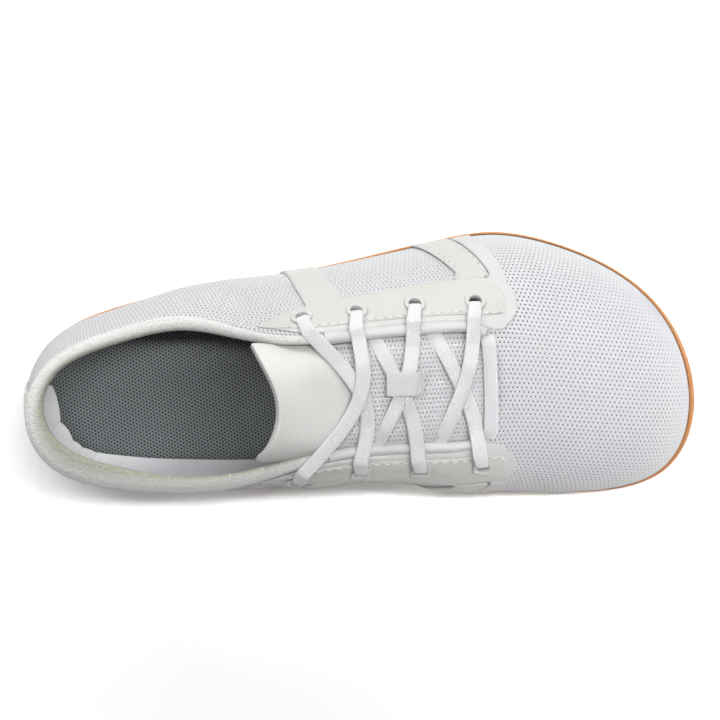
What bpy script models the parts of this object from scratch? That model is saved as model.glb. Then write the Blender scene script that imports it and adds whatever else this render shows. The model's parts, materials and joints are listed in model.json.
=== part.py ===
"""Left shoe of a pair of wide, flat, low lace-up sneakers: knitted upper on a thin gum sole.

Frame: +X to the toe, +Y to the outer (lateral) side, +Z up, origin on the floor under the middle of the shoe.
Sizes are in millimetres, the finished objects in metres.
"""
import math

import bmesh
import bpy
import numpy as np
from mathutils import Matrix, Vector
from mathutils.bvhtree import BVHTree

MM = 0.001
UP = np.array((0.0, 0.0, 1.0))

# Driving sizes of the last
LENGTH = 281.0
BALL_WIDTH = 110.0
INSTEP_HEIGHT = 78.0
HEEL_HEIGHT = 65.0
INSTEP_SHARE = 42.0
# Shares of length and ball width at which the middle of the whole shoe lies
MIDDLE_ALONG = 49.8
MIDDLE_ACROSS = -0.36

# Walls and gaps
GAP = 0.3
WALL = 1.6
OVERLAY = 0.9
WELD = 1e-6

# Fineness of the facets
COLUMNS_PER_ROW = 3
WALL_ROWS = 10
ROLL_SIDES = 8
ROUND_SIDES = 10
SOLE_ACROSS = 4
INSOLE_ACROSS = 2
TONGUE_GRID = (14, 8)
EYESTAY_GRID = (18, 4)
BAND_GRID = (5, 6)
HEEL_STRIP_GRID = (4, 7)
CLOTH_SAMPLES = 41
OUTLINE_SAMPLES = 120

# Sole
SOLE_THICKNESS = 5.0
RIM_RISE = 0.07
RIM_GAP = 0.4
TOE_SPRING = 8.0
TOE_SPRING_START = 70.0
HEEL_LIFT = 1.2
HEEL_LIFT_END = -118.0
ARCH_RELIEF = 1.0
ARCH_CENTRE = -32.0
ARCH_HALF = 42.0
GROOVE_PITCH = 13.0
GROOVE_WIDTH = 2.2
GROOVE_DEPTH = 1.4
GROOVE_MARGIN = 8.0
GROOVE_FIRST = -120.0
GROOVE_LAST = 116.0
ARCH_CLEAR = 34.0
INSOLE_INSET = WALL + 0.9
# Side of the insole from below: further inset and height, in mm
INSOLE_SIDE = (
    ("lower edge", 0.4, 0.0),
    ("lower side", 0.0, 0.5),
    ("upper side", 0.0, 3.0),
    ("upper edge", 0.8, 4.0),
)

# Rows of the wall, from the heel along the lateral side to the toe and back along the medial side.
# facing: degrees from +X in plan. foot: where the wall leaves the sole. top: where it ends, at collar
# or throat.
# x in per cent of the length from the heel, y in per cent of the ball width, top_z in per cent of the height
# line between heel and instep. swell and crown, in mm: how the wall leaves the sole and the top line.
# rim: width of the sole's rim in mm. roll: radius of the binding in mm.
LAST_COLUMNS = ("facing", "foot_x", "foot_y", "swell_out", "swell_up", "top_x", "top_y", "top_z",
                "crown_out", "crown_down", "rim", "roll")
LAST_ROWS = (
    # heel, middle of the back
    (180, 1.0, -11.9, 3.5, 16, 1.7, -11.9, 99, 5.5, 22, 1.2, 2.8),
    # lateral side: heel, ankle, collar, throat, ball, toe
    (130, 5.0, 8.2, 7, 16, 5.4, 7.5, 92, 5, 20, 1.2, 2.9),
    (104, 14.3, 18.9, 7, 16, 14.4, 17.7, 80.5, 5, 18, 1.2, 3.0),
    (99, 23.9, 24.6, 11.5, 16, 23.9, 22.5, 73.2, 8.5, 17, 1.0, 3.0),
    (98, 32.8, 28.9, 12.5, 17, 32.8, 19.7, 86.5, 10, 17, 0.9, 2.5),
    (96, 41.7, 32.4, 11.5, 18, 41.7, 19.3, 100, 12, 14, 0.9, 1.9),
    (93, 52.3, 39.0, 9, 17, 52.7, 20.6, 87.8, 13, 9, 0.9, 1.7),
    (86, 63.0, 45.9, 6, 16, 62.3, 21.5, 77.6, 13, 7, 0.9, 1.6),
    (62, 72.8, 47.3, 6, 17, 67.6, 19.0, 74.5, 16, 5.0, 0.9, 1.5),
    (35, 86.0, 36.2, 5.5, 18, 69.2, 8.5, 75.8, 32, 7.5, 0.9, 1.5),
    (12, 95.3, 15.1, 5.2, 20, 69.6, 2.0, 76.4, 44, 10, 1.3, 1.5),
    # toe tip
    (-8, 98.8, -14.4, 4.8, 22, 69.6, -3.5, 76.5, 50, 11, 2.0, 1.5),
    # medial side: toe, ball, throat, collar, ankle, heel
    (-24, 95.4, -39.7, 5.6, 21, 69.6, -9.5, 76.2, 44, 10, 1.4, 1.5),
    (-38, 85.6, -49.4, 6, 20, 69.0, -16.5, 75.4, 32, 7.5, 0.9, 1.5),
    (-58, 73.0, -49.5, 5.5, 19, 67.6, -24.5, 74.4, 18, 4.5, 0.8, 1.5),
    (-88, 63.0, -46.6, 5, 19, 62.3, -27.1, 77.6, 17, 4.5, 0.9, 1.6),
    (-91, 52.3, -42.5, 4.5, 20, 52.7, -26.6, 87.8, 16, 5, 0.9, 1.7),
    (-91, 41.7, -42.2, 5, 20, 42.4, -29.0, 100, 14, 9, 0.9, 1.9),
    (-91, 32.8, -42.5, 6.5, 18, 32.8, -37.5, 88.5, 9.5, 16, 0.9, 2.5),
    (-91, 23.9, -42.2, 7, 17, 23.9, -41.0, 81.5, 7, 18, 1.0, 3.0),
    (-100, 14.3, -41.3, 6, 16, 14.4, -39.4, 86.4, 7, 18, 1.2, 3.0),
    (-130, 5.0, -33.6, 5.5, 16, 5.4, -31.6, 93.7, 6.5, 20, 1.2, 2.9),
)
STATIONS = len(LAST_ROWS)
TOE_STATION = 11

# Side of the sole from the tread to the rim: reach beyond the rim's face in mm, share of the height
SOLE_SIDE = (
    ("tread edge", -3.0, 0.0),
    ("tread round", -2.0, 0.08),
    ("lower side", -0.9, 0.26),
    ("under the groove", -0.5, 0.46),
    ("groove", -1.1, 0.52),
    ("over the groove", -0.35, 0.58),
    ("rim side", 0.0, 0.92),
    ("rim round", -0.35, 1.0),
)

# Tongue from its sewn front to its free end: x per cent of length, y per cent of ball width, z per cent of
# the instep height, half width in mm, drop of its edges below its middle in mm
TONGUE_ROWS = (
    (73.0, -3.5, 68.5, 22, 3.5),
    (69.6, -3.5, 72.0, 25, 5.5),
    (63.0, -3.5, 79.5, 27, 8.5),
    (56.0, -3.6, 88.0, 27, 10.5),
    (49.0, -4.3, 97.5, 26.5, 12.0),
    (43.0, -6.0, 107.0, 24.6, 14.0),
    (38.0, -7.2, 117.0, 22.9, 16.0),
)
TONGUE_THICKNESS = 3.5

# Overlays, in stations along the wall and millimetres down from the top line
EYESTAY_ROWS = (
    (4.25, 1.5, 3.5),
    (4.55, 1.5, 9.5),
    (4.9, 1.5, 14.8),
    (5.4, 1.5, 17.2),
    (6.4, 1.5, 19.5),
    (7.4, 1.5, 22.0),
    (8.0, 2.8, 23.5),
    (8.35, 6.5, 20.0),
    (8.5, 10.0, 15.0),
)
# Bands between eyestay and sole: stations at the sole and at the eyestay, width in stations at each end
BANDS = {
    "saddle": {"foot": 6.45, "foot_width": 0.85, "top": 7.25, "top_width": 0.85},
    "waist_band": {"foot": 4.55, "foot_width": 0.5, "top": 5.05, "top_width": 0.5},
}
BAND_RISE = 0.11
BAND_CLEAR = 1.1
HEEL_STRIP_HALF = 0.3
HEEL_STRIP_RISE = (0.11, 0.95)

# Eyelets and lace
EYELET_STATIONS = {"lateral": (4.97, 5.68, 6.45, 7.5), "medial": (17.2, 16.3, 15.45, 14.35)}
EYELET_DROP = 9.2
EYELET_HOLE = 3.3
EYELET_FLANGE = (2.5, 4.4)
EYELET_ROUND = (0.3, 0.5)
EYELET_BARREL = 3.0
EYELET_HEIGHT = 0.7
EYELET_DEPTH = 4.2
DRILL_DEPTH = 14.0
LACE_WIDTH = 6.0
LACE_THICKNESS = 1.2
LACE_SAMPLES = 13
LACE_FINE = 5
LACE_GAP = 0.45
LACE_SINK = 0.35
LACE_UNDER = 0.75
# Most that a band may lean, as a share of its width
LACE_LEAN = 0.2
LACE_EDGE = 6.0
LACE_EYELET_CLEAR = 5.2
# How far each crossing hangs forward of the straight way, from the toe end back
LACE_SWAY = {3: 4.0, 2: 4.5, 1: 13.0}
BAR_SETBACK = 8.0
BAR_MARGIN = 9.5
BAR_STATIONS = 4
BAR_BOW = 1.0
KEEPER_PLACE = (56.0, 0.5)
KEEPER_LENGTH = 15.0
KEEPER_WIDTH = 10.0
KEEPER_THICKNESS = 0.9

# Colour, roughness
KNIT = ((0.80, 0.79, 0.76), 0.85)
LEATHER = ((0.82, 0.79, 0.73), 0.5)
RIB = ((0.78, 0.75, 0.69), 0.9)
TONGUE_CLOTH = ((0.80, 0.78, 0.73), 0.8)
GUM = ((0.62, 0.25, 0.07), 0.55)
SPACER = ((0.10, 0.10, 0.11), 0.9)
LACE_CLOTH = ((0.84, 0.83, 0.80), 0.8)
EYELET_PLASTIC = ((0.80, 0.77, 0.71), 0.45)


def along(share):
    """Place along the shoe for a share of its length."""
    return LENGTH * (share - MIDDLE_ALONG) / 100.0


def abreast(share):
    """Place across the shoe for a share of its ball width."""
    return BALL_WIDTH * (share - MIDDLE_ACROSS) / 100.0


def height_line(x):
    """Height that the top line is measured against, between heel and instep."""
    share = 100.0 * x / LENGTH + MIDDLE_ALONG
    return np.interp(share, (0.0, INSTEP_SHARE), (HEEL_HEIGHT, INSTEP_HEIGHT))


def ground(x):
    """Height of the tread above the floor."""
    toe = TOE_SPRING * max(0.0, (x - TOE_SPRING_START) / (LENGTH / 2 - TOE_SPRING_START)) ** 2
    heel = HEEL_LIFT * max(0.0, (HEEL_LIFT_END - x) / (HEEL_LIFT_END + LENGTH / 2)) ** 2
    reach = min(1.0, abs(x - ARCH_CENTRE) / ARCH_HALF)
    return toe + heel + ARCH_RELIEF * (1.0 - reach * reach) ** 2


def sole_floor(x):
    """Height of the sole's upper face, on which the upper and the insole stand."""
    toe = TOE_SPRING * max(0.0, (x - TOE_SPRING_START) / (LENGTH / 2 - TOE_SPRING_START)) ** 2
    return SOLE_THICKNESS + toe


def last_table():
    """Rows of the wall in millimetres, with the facing as a direction."""
    rows = []
    for values in LAST_ROWS:
        row = dict(zip(LAST_COLUMNS, values))
        turn = math.radians(row["facing"])
        foot_x = along(row["foot_x"])
        top_x = along(row["top_x"])
        rows.append((
            math.cos(turn), math.sin(turn),
            foot_x, abreast(row["foot_y"]),
            row["swell_out"], row["swell_up"],
            top_x, abreast(row["top_y"]), height_line(top_x) * row["top_z"] / 100.0,
            row["crown_out"], row["crown_down"], row["rim"], row["roll"],
        ))
    return np.array(rows)


def closed_bends(values):
    """Second derivatives of the smooth closed curve through evenly numbered rows."""
    count = len(values)
    turn = np.roll(np.eye(count), 1, axis=1)
    steps = np.roll(values, -1, axis=0) - 2.0 * values + np.roll(values, 1, axis=0)
    return np.linalg.solve(4.0 * np.eye(count) + turn + turn.T, 6.0 * steps)


def open_bends(values):
    """Second derivatives of the smooth open curve through evenly numbered rows, straight at its ends."""
    count = len(values)
    matrix = np.eye(count)
    steps = np.zeros_like(values)
    for i in range(1, count - 1):
        matrix[i, i - 1:i + 2] = (1.0, 4.0, 1.0)
        steps[i] = values[i + 1] - 2.0 * values[i] + values[i - 1]
    return np.linalg.solve(matrix, 6.0 * steps)


def between(values, bends, low, high, share):
    """Point of a smooth curve between two of its rows."""
    rest = 1.0 - share
    bend = (rest ** 3 - rest) * bends[low] + (share ** 3 - share) * bends[high]
    return rest * values[low] + share * values[high] + bend / 6.0


LAST = last_table()
LAST_BENDS = closed_bends(LAST)


def last_row(station):
    """Row of the wall at any station, whole or part."""
    low = int(math.floor(station))
    return between(LAST, LAST_BENDS, low % STATIONS, (low + 1) % STATIONS, station - low)


def wall(station, rise):
    """Point of the upper's outer face: rise 0 at the sole, 1 at the top line."""
    face_x, face_y, foot_x, foot_y, swell_out, swell_up, top_x, top_y, top_z, crown_out, crown_down = \
        last_row(station)[:11]
    out = np.array((face_x, face_y, 0.0)) / math.hypot(face_x, face_y)
    foot = np.array((foot_x, foot_y, sole_floor(foot_x) + GAP))
    top = np.array((top_x, top_y, top_z))
    low = foot + out * swell_out + UP * swell_up
    high = top + out * crown_out - UP * crown_down
    rest = 1.0 - rise
    return rest ** 3 * foot + 3 * rest * rest * rise * low + 3 * rest * rise * rise * high + rise ** 3 * top


def wall_normal(station, rise):
    """Outward direction of the upper's outer face."""
    step = 0.004
    low = max(0.0, rise - step)
    high = min(1.0, rise + step)
    up = wall(station, high) - wall(station, low)
    on = wall(station + step, rise) - wall(station - step, rise)
    normal = np.cross(up, on)
    return normal / np.linalg.norm(normal)


def on_wall(station, rise, lift):
    """Point at a height above the upper's outer face."""
    return wall(station, rise) + lift * wall_normal(station, rise)


def rise_at(station, drop):
    """Rise of the point that lies a length of cloth below the top line."""
    rises = np.linspace(1.0, 0.0, CLOTH_SAMPLES)
    points = np.array([wall(station, rise) for rise in rises])
    lengths = np.concatenate(((0.0,), np.cumsum(np.linalg.norm(np.diff(points, axis=0), axis=1))))
    return float(np.interp(drop, lengths, rises))


def foot_out(station):
    """Outward direction in plan, square to the line where the wall meets the sole."""
    step = 0.02
    on = last_row(station + step)[2:4] - last_row(station - step)[2:4]
    out = np.array((-on[1], on[0], 0.0))
    return out / np.linalg.norm(out)


def mirrored(station):
    """Station on the medial side that answers to one on the lateral side."""
    return STATIONS - station


def side_y(x, lateral):
    """Half outline of the sole: y of the wall's foot at a place along the shoe."""
    stations = np.linspace(0.0, TOE_STATION, OUTLINE_SAMPLES)
    if not lateral:
        stations = STATIONS - stations
    feet = np.array([last_row(station)[2:4] for station in stations])
    return float(np.interp(x, feet[:, 0], feet[:, 1]))


def make_collection(name):
    collection = bpy.data.collections.new(name)
    bpy.context.scene.collection.children.link(collection)
    return collection


def make_material(name, look):
    colour, roughness = look
    material = bpy.data.materials.new(name)
    material.use_nodes = True
    shader = material.node_tree.nodes["Principled BSDF"]
    shader.inputs["Base Color"].default_value = (*colour, 1.0)
    shader.inputs["Roughness"].default_value = roughness
    shader.inputs["Metallic"].default_value = 0.0
    material.diffuse_color = (*colour, 1.0)
    return material


def add_object(name, form, look, collection):
    """Object of a finished form, smooth shaded, with its own material."""
    mesh = bpy.data.meshes.new(name)
    form.to_mesh(mesh)
    form.free()
    mesh.polygons.foreach_set("use_smooth", [True] * len(mesh.polygons))
    piece = bpy.data.objects.new(name, mesh)
    collection.objects.link(piece)
    if look is not None:
        mesh.materials.append(make_material(name, look))
    return piece


def sheet(form, columns, rows, place):
    """Grid laid into a form, each corner put in its place by a function of two shares."""
    corners = bmesh.ops.create_grid(form, x_segments=columns, y_segments=rows, size=0.5)["verts"]
    for corner in corners:
        corner.co = Vector(place(corner.co.x + 0.5, corner.co.y + 0.5)) * MM


def weld(form):
    """Join the corners that meet and turn the faces outward."""
    bmesh.ops.remove_doubles(form, verts=form.verts, dist=WELD)
    bmesh.ops.recalc_face_normals(form, faces=form.faces)


def thicken(piece, thickness, offset):
    """Give a sheet its thickness, to the side of its faces or away from it."""
    solid = piece.modifiers.new("thickness", "SOLIDIFY")
    solid.thickness = thickness * MM
    solid.offset = offset
    solid.use_even_offset = True
    return solid


def cut(piece, cutter, operation="DIFFERENCE"):
    """Boolean with a tool object kept out of the render."""
    step = piece.modifiers.new(cutter.name, "BOOLEAN")
    step.operation = operation
    step.solver = "EXACT"
    step.object = cutter
    cutter.hide_render = True
    cutter.display_type = "WIRE"


def made_up(piece):
    """Form of a piece with its modifiers worked out."""
    graph = bpy.context.evaluated_depsgraph_get()
    finished = piece.evaluated_get(graph)
    form = bmesh.new()
    form.from_mesh(finished.to_mesh())
    finished.to_mesh_clear()
    return form


def make_upper(parts):
    """Knitted wall, open at the top line and underneath."""
    form = bmesh.new()
    sheet(form, COLUMNS_PER_ROW * STATIONS, WALL_ROWS, lambda u, v: wall((1.0 - u) * STATIONS, v))
    bmesh.ops.remove_doubles(form, verts=form.verts, dist=WELD)
    upper = add_object("upper", form, KNIT, parts)
    thicken(upper, WALL, -1.0)
    return upper


def loops_and_faces(loops, rows, lower, upper):
    """Closed solid from rings round the shoe, with faces across its lowest and highest ring."""
    form = bmesh.new()
    columns = COLUMNS_PER_ROW * STATIONS
    last_loop = len(loops) - 1

    def side(u, v):
        return loops[round(v * last_loop)](u * STATIONS)

    def across(ring, height):
        half = columns // 2

        def place(u, v):
            lateral = ring(u * TOE_STATION)
            medial = ring(STATIONS - u * TOE_STATION)
            point = lateral * (1.0 - v) + medial * v
            point[2] = height(point[0])
            return point

        sheet(form, half, rows, place)

    sheet(form, columns, last_loop, side)
    across(loops[0], lower)
    across(loops[-1], upper)
    weld(form)
    return form


def make_outsole(parts, tools):
    """Moulded sole: tread, grooved side, low rim round the foot of the wall."""
    def inner_rim(station):
        return wall(station, RIM_RISE) + foot_out(station) * RIM_GAP

    def side_ring(reach, share):
        def ring(station):
            rim = inner_rim(station)
            out = foot_out(station)
            point = rim + out * (last_row(station)[11] + reach)
            low = ground(point[0])
            point[2] = low + (rim[2] - low) * share
            return point
        return ring

    def floor_ring(station):
        point = wall(station, 0.0) + foot_out(station) * RIM_GAP
        point[2] = sole_floor(point[0])
        return point

    loops = [side_ring(reach, share) for _, reach, share in SOLE_SIDE]
    loops += [inner_rim, floor_ring]
    form = loops_and_faces(loops, SOLE_ACROSS, ground, sole_floor)
    outsole = add_object("outsole", form, GUM, parts)

    grooves = bmesh.new()
    for x in np.arange(GROOVE_FIRST, GROOVE_LAST, GROOVE_PITCH):
        if abs(x - ARCH_CENTRE) < ARCH_CLEAR:
            continue
        lateral = side_y(x, True) - GROOVE_MARGIN
        medial = side_y(x, False) + GROOVE_MARGIN
        size = Matrix.Diagonal((GROOVE_WIDTH, lateral - medial, 2.0 * GROOVE_DEPTH, 1.0))
        place = Matrix.Translation((x, (lateral + medial) / 2.0, ground(x)))
        bmesh.ops.create_cube(grooves, size=1.0, matrix=Matrix.Scale(MM, 4) @ place @ size)
    cut(outsole, add_object("tread_grooves", grooves, None, tools))
    return outsole


def make_insole(parts):
    """Loose insole, a little inside the wall."""
    def ring(inset, height):
        def point_at(station):
            point = wall(station, 0.0) - foot_out(station) * (INSOLE_INSET + inset)
            point[2] = sole_floor(point[0]) + GAP + height
            return point
        return point_at

    def lying(height):
        return lambda x: sole_floor(x) + GAP + height

    loops = [ring(inset, height) for _, inset, height in INSOLE_SIDE]
    lowest = INSOLE_SIDE[0][2]
    highest = INSOLE_SIDE[-1][2]
    form = loops_and_faces(loops, INSOLE_ACROSS, lying(lowest), lying(highest))
    return add_object("insole", form, SPACER, parts)


TONGUE = np.array([(along(x), abreast(y), INSTEP_HEIGHT * z / 100.0, half, drop)
                   for x, y, z, half, drop in TONGUE_ROWS])
TONGUE_BENDS = open_bends(TONGUE)


def tongue_row(share):
    place = share * (len(TONGUE) - 1)
    low = min(int(place), len(TONGUE) - 2)
    return between(TONGUE, TONGUE_BENDS, low, low + 1, place - low)


def tongue_point(share, across):
    """Point of the tongue's upper face: share 0 at its front, across -1 medial to 1 lateral."""
    step = 0.01
    x, y, z, half, drop = tongue_row(share)
    before = tongue_row(max(0.0, share - step))
    after = tongue_row(min(1.0, share + step))
    slope = after[:3] - before[:3]
    slope /= np.linalg.norm(slope)
    normal = np.cross(slope, (0.0, 1.0, 0.0))
    normal *= math.copysign(1.0, normal[2])
    return np.array((x, y + half * across, z)) - normal * drop * across * across


def make_tongue(parts):
    form = bmesh.new()
    sheet(form, *TONGUE_GRID, lambda u, v: tongue_point(1.0 - u, 2.0 * v - 1.0))
    tongue = add_object("tongue", form, TONGUE_CLOTH, parts)
    thicken(tongue, TONGUE_THICKNESS, -1.0)
    return tongue


def make_collar_roll(parts):
    """Padded binding that stands on the wall's top edge all the way round."""
    form = bmesh.new()
    step = 0.01

    def place(u, v):
        station = u * STATIONS
        radius = last_row(station)[12]
        top = wall(station, 1.0)
        rising = top - wall(station, 1.0 - step)
        rising /= np.linalg.norm(rising)
        out = wall_normal(station, 1.0)
        centre = top - out * WALL / 2.0 + rising * (radius + GAP)
        turn = 2.0 * math.pi * v
        return centre + radius * (math.cos(turn) * out + math.sin(turn) * rising)

    sheet(form, COLUMNS_PER_ROW * STATIONS, ROLL_SIDES, place)
    weld(form)
    return add_object("collar_roll", form, RIB, parts)


def patch(name, grid, place, look, parts):
    """Overlay on the wall: a sheet just off its outer face, thickened outward."""
    form = bmesh.new()
    sheet(form, *grid, lambda u, v: on_wall(*place(u, v), GAP))
    weld(form)
    middle = max(form.faces, key=lambda face: face.calc_area())
    station, rise = place(0.5, 0.5)
    if middle.normal.dot(Vector(wall_normal(station, rise))) < 0.0:
        bmesh.ops.reverse_faces(form, faces=form.faces)
    overlay = add_object(name, form, look, parts)
    thicken(overlay, OVERLAY, 1.0)
    return overlay


def make_eyestay(name, turn, parts):
    table = np.array(EYESTAY_ROWS)
    bends = open_bends(table)

    def place(u, v):
        at = u * (len(table) - 1)
        low = min(int(at), len(table) - 2)
        station, upper_edge, lower_edge = between(table, bends, low, low + 1, at - low)
        station = turn(station)
        return station, rise_at(station, upper_edge + (lower_edge - upper_edge) * v)

    return patch(name, EYESTAY_GRID, place, LEATHER, parts)


def make_band(name, sizes, turn, parts):
    """Band from just above the sole to just below the eyestay."""
    edge = np.array(EYESTAY_ROWS)

    def place(u, v):
        foot = sizes["foot"] + sizes["foot_width"] * u
        top = sizes["top"] + sizes["top_width"] * u
        plain = foot + (top - foot) * v
        station = turn(plain)
        high = rise_at(station, np.interp(plain, edge[:, 0], edge[:, 2]) + BAND_CLEAR)
        return station, BAND_RISE + (high - BAND_RISE) * v

    return patch(name, BAND_GRID, place, LEATHER, parts)


def make_heel_strip(parts):
    low, high = HEEL_STRIP_RISE

    def place(u, v):
        return HEEL_STRIP_HALF * (2.0 * u - 1.0), low + (high - low) * v

    return patch("heel_strip", HEEL_STRIP_GRID, place, LEATHER, parts)


def eyelet_frame(station):
    """Middle of an eyelet on the wall and the direction it faces."""
    rise = rise_at(station, EYELET_DROP)
    return wall(station, rise), wall_normal(station, rise)


def facing_matrix(centre, normal):
    turn = Vector(normal).to_track_quat("Z", "X").to_matrix().to_4x4()
    return Matrix.Translation(Vector(centre) * MM) @ turn


def make_eyelet(name, station, parts):
    """Pressed eyelet: a flange on the eyestay and a barrel through eyestay and wall, from one profile."""
    inner, outer = EYELET_FLANGE
    inner_round, outer_round = EYELET_ROUND
    seat = GAP + OVERLAY + GAP
    crown = seat + EYELET_HEIGHT
    foot = seat - EYELET_DEPTH
    profile = ((inner, foot), (EYELET_BARREL, foot), (EYELET_BARREL, seat), (outer, seat),
               (outer - outer_round, crown), (inner + inner_round, crown))
    form = bmesh.new()
    corners = [form.verts.new((radius * MM, 0.0, height * MM)) for radius, height in profile]
    edges = [form.edges.new((corners[i - 1], corners[i])) for i in range(len(corners))]
    bmesh.ops.spin(form, geom=corners + edges, cent=(0, 0, 0), axis=(0, 0, 1), angle=2.0 * math.pi,
                   steps=ROUND_SIDES, use_merge=True)
    weld(form)
    bmesh.ops.transform(form, matrix=facing_matrix(*eyelet_frame(station)), verts=form.verts)
    return add_object(name, form, EYELET_PLASTIC, parts)


def make_eyelet_holes(name, stations, tools):
    """Drills for the holes of one side."""
    form = bmesh.new()
    for station in stations:
        bmesh.ops.create_cone(form, cap_ends=True, segments=ROUND_SIDES, radius1=EYELET_HOLE * MM,
                              radius2=EYELET_HOLE * MM, depth=DRILL_DEPTH * MM,
                              matrix=facing_matrix(*eyelet_frame(station)))
    return add_object(name, form, None, tools)


def tree_of(piece):
    form = made_up(piece)
    tree = BVHTree.FromBMesh(form)
    form.free()
    return tree


def height_over(point, grounds):
    """Height at which something laid on the pieces below comes to rest."""
    best = None
    for tree, clearance in grounds:
        hit = tree.ray_cast(Vector((point[0] * MM, point[1] * MM, 1.0)), Vector((0.0, 0.0, -1.0)))[0]
        if hit is not None:
            height = hit.z / MM + clearance
            best = height if best is None else max(best, height)
    return best


def settled(heights):
    """Heights of a band drawn tight: never below the given ones, without their sharp turns."""
    count = len(heights)
    hold = LACE_FINE + LACE_FINE // 2 + 1
    crest = [max(heights[max(0, i - hold):i + hold + 1]) for i in range(count)]
    return [float(np.mean(crest[max(0, i - LACE_FINE):i + LACE_FINE + 1])) for i in range(count)]


def strap(form, path, width, thickness, grounds):
    """Flat band along a smooth path in plan, laid over the pieces below."""
    path = np.array([point[:2] for point in path])
    bends = open_bends(path)
    count = (LACE_SAMPLES - 1) * LACE_FINE + 1
    line = []
    for i in range(count):
        at = (len(path) - 1) * i / (count - 1)
        low = min(int(at), len(path) - 2)
        line.append(between(path, bends, low, low + 1, at - low))
    runs = np.gradient(np.array(line), axis=0)
    runs /= np.linalg.norm(runs, axis=1)[:, None]
    across = np.stack((-runs[:, 1], runs[:, 0]), axis=1) * width / 2.0
    edges = [line + across * share for share in (1.0, 0.0, -1.0)]
    heights = [[height_over(point, grounds) for point in edge] for edge in edges]
    lowest = min(height for row in heights for height in row if height is not None)
    rows = np.array([settled([lowest if height is None else height for height in row]) for row in heights])
    rows = np.maximum(rows, rows.max(axis=0) - width * LACE_LEAN)
    rows[1] = np.maximum(rows[1], (rows[0] + rows[2]) / 2.0)

    def place(u, v):
        i = round(u * (LACE_SAMPLES - 1)) * LACE_FINE
        row = round(v * 2)
        return np.array((*edges[row][i], rows[row][i]))

    sheet(form, LACE_SAMPLES - 1, 2, place)
    bmesh.ops.recalc_face_normals(form, faces=form.faces)
    top = bmesh.ops.extrude_face_region(form, geom=form.faces[:])["geom"]
    raised = [item for item in top if isinstance(item, bmesh.types.BMVert)]
    bmesh.ops.translate(form, verts=raised, vec=(0.0, 0.0, thickness * MM))
    bmesh.ops.recalc_face_normals(form, faces=form.faces)


def throat_point(station):
    """Place in plan just inside the binding at a station of the throat."""
    step = 0.05
    top = wall(station, 1.0)
    inward = top - wall(station, 1.0 - step)
    inward /= np.linalg.norm(inward)
    return top + inward * LACE_EDGE


def beside_eyelet(station, towards):
    """Place in plan at an eyelet's rim, on the way to another place."""
    centre = eyelet_frame(station)[0]
    run = np.array(towards[:2]) - centre[:2]
    run /= np.linalg.norm(run)
    return centre[:2] + run * LACE_EYELET_CLEAR


def make_crossing(name, number, grounds, parts, tools):
    """Two lengths of lace that cross over the tongue, joined where they cross."""
    paths = []
    for side, other in (("medial", "lateral"), ("lateral", "medial")):
        front = EYELET_STATIONS[side][number]
        far_front = EYELET_STATIONS[other][number]
        far_back = EYELET_STATIONS[other][number - 1]
        start = eyelet_frame(front)[0]
        if number == 1:
            end = eyelet_frame(far_back)[0]
        else:
            end = throat_point(far_front + (far_back - far_front) * LACE_UNDER)
        middle = (start + end) / 2.0 + np.array((LACE_SWAY[number], 0.0, 0.0))
        if number == 1:
            end = beside_eyelet(far_back, middle)
        paths.append((beside_eyelet(front, middle), middle, end))
    under = bmesh.new()
    strap(under, paths[0], LACE_WIDTH, LACE_THICKNESS, grounds)
    tool = add_object(name + "_under", under, None, tools)
    over = bmesh.new()
    strap(over, paths[1], LACE_WIDTH, LACE_THICKNESS, grounds + [(tree_of(tool), -LACE_SINK)])
    crossing = add_object(name, over, LACE_CLOTH, parts)
    cut(crossing, tool, "UNION")
    return crossing


def make_laces(parts, tools, grounds):
    bar = bmesh.new()
    x = wall(TOE_STATION, 1.0)[0] - BAR_SETBACK
    lateral = wall(TOE_STATION - BAR_STATIONS, 1.0)[1] - BAR_MARGIN
    medial = wall(TOE_STATION + BAR_STATIONS, 1.0)[1] + BAR_MARGIN
    middle = (lateral + medial) / 2.0
    path = ((x, lateral), (x + BAR_BOW, middle), (x + BAR_BOW, medial))
    strap(bar, path, LACE_WIDTH, LACE_THICKNESS, grounds)
    grounds = grounds + [(tree_of(add_object("lace_bar", bar, LACE_CLOTH, parts)), LACE_GAP)]
    for number in (3, 2, 1):
        crossing = make_crossing(f"lace_crossing_{number}", number, grounds, parts, tools)
        grounds = grounds + [(tree_of(crossing), LACE_GAP)]
    reach = np.array((KEEPER_LENGTH / 2.0, 0.0))
    centre = np.array((along(KEEPER_PLACE[0]), abreast(KEEPER_PLACE[1])))
    keeper = bmesh.new()
    strap(keeper, (centre - reach, centre, centre + reach), KEEPER_WIDTH, KEEPER_THICKNESS, grounds)
    add_object("lace_keeper", keeper, RIB, parts)


def main():
    for item in list(bpy.data.objects):
        bpy.data.objects.remove(item, do_unlink=True)
    parts = make_collection("sneaker")
    tools = make_collection("tools")

    make_outsole(parts, tools)
    upper = make_upper(parts)
    make_insole(parts)
    tongue = make_tongue(parts)
    roll = make_collar_roll(parts)
    grounds = [(tree_of(tongue), LACE_GAP), (tree_of(roll), LACE_GAP)]
    make_heel_strip(parts)
    for side, turn in (("lateral", float), ("medial", mirrored)):
        eyestay = make_eyestay(f"eyestay_{side}", turn, parts)
        grounds.append((tree_of(eyestay), LACE_GAP))
        for band, sizes in BANDS.items():
            make_band(f"{band}_{side}", sizes, turn, parts)
        stations = EYELET_STATIONS[side]
        holes = make_eyelet_holes(f"eyelet_holes_{side}", stations, tools)
        cut(upper, holes)
        cut(eyestay, holes)
        for number, station in enumerate(stations, 1):
            eyelet = make_eyelet(f"eyelet_{side}_{number}", station, parts)
            grounds.append((tree_of(eyelet), LACE_GAP))
    make_laces(parts, tools, grounds)


if __name__ == "__main__":
    main()
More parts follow.
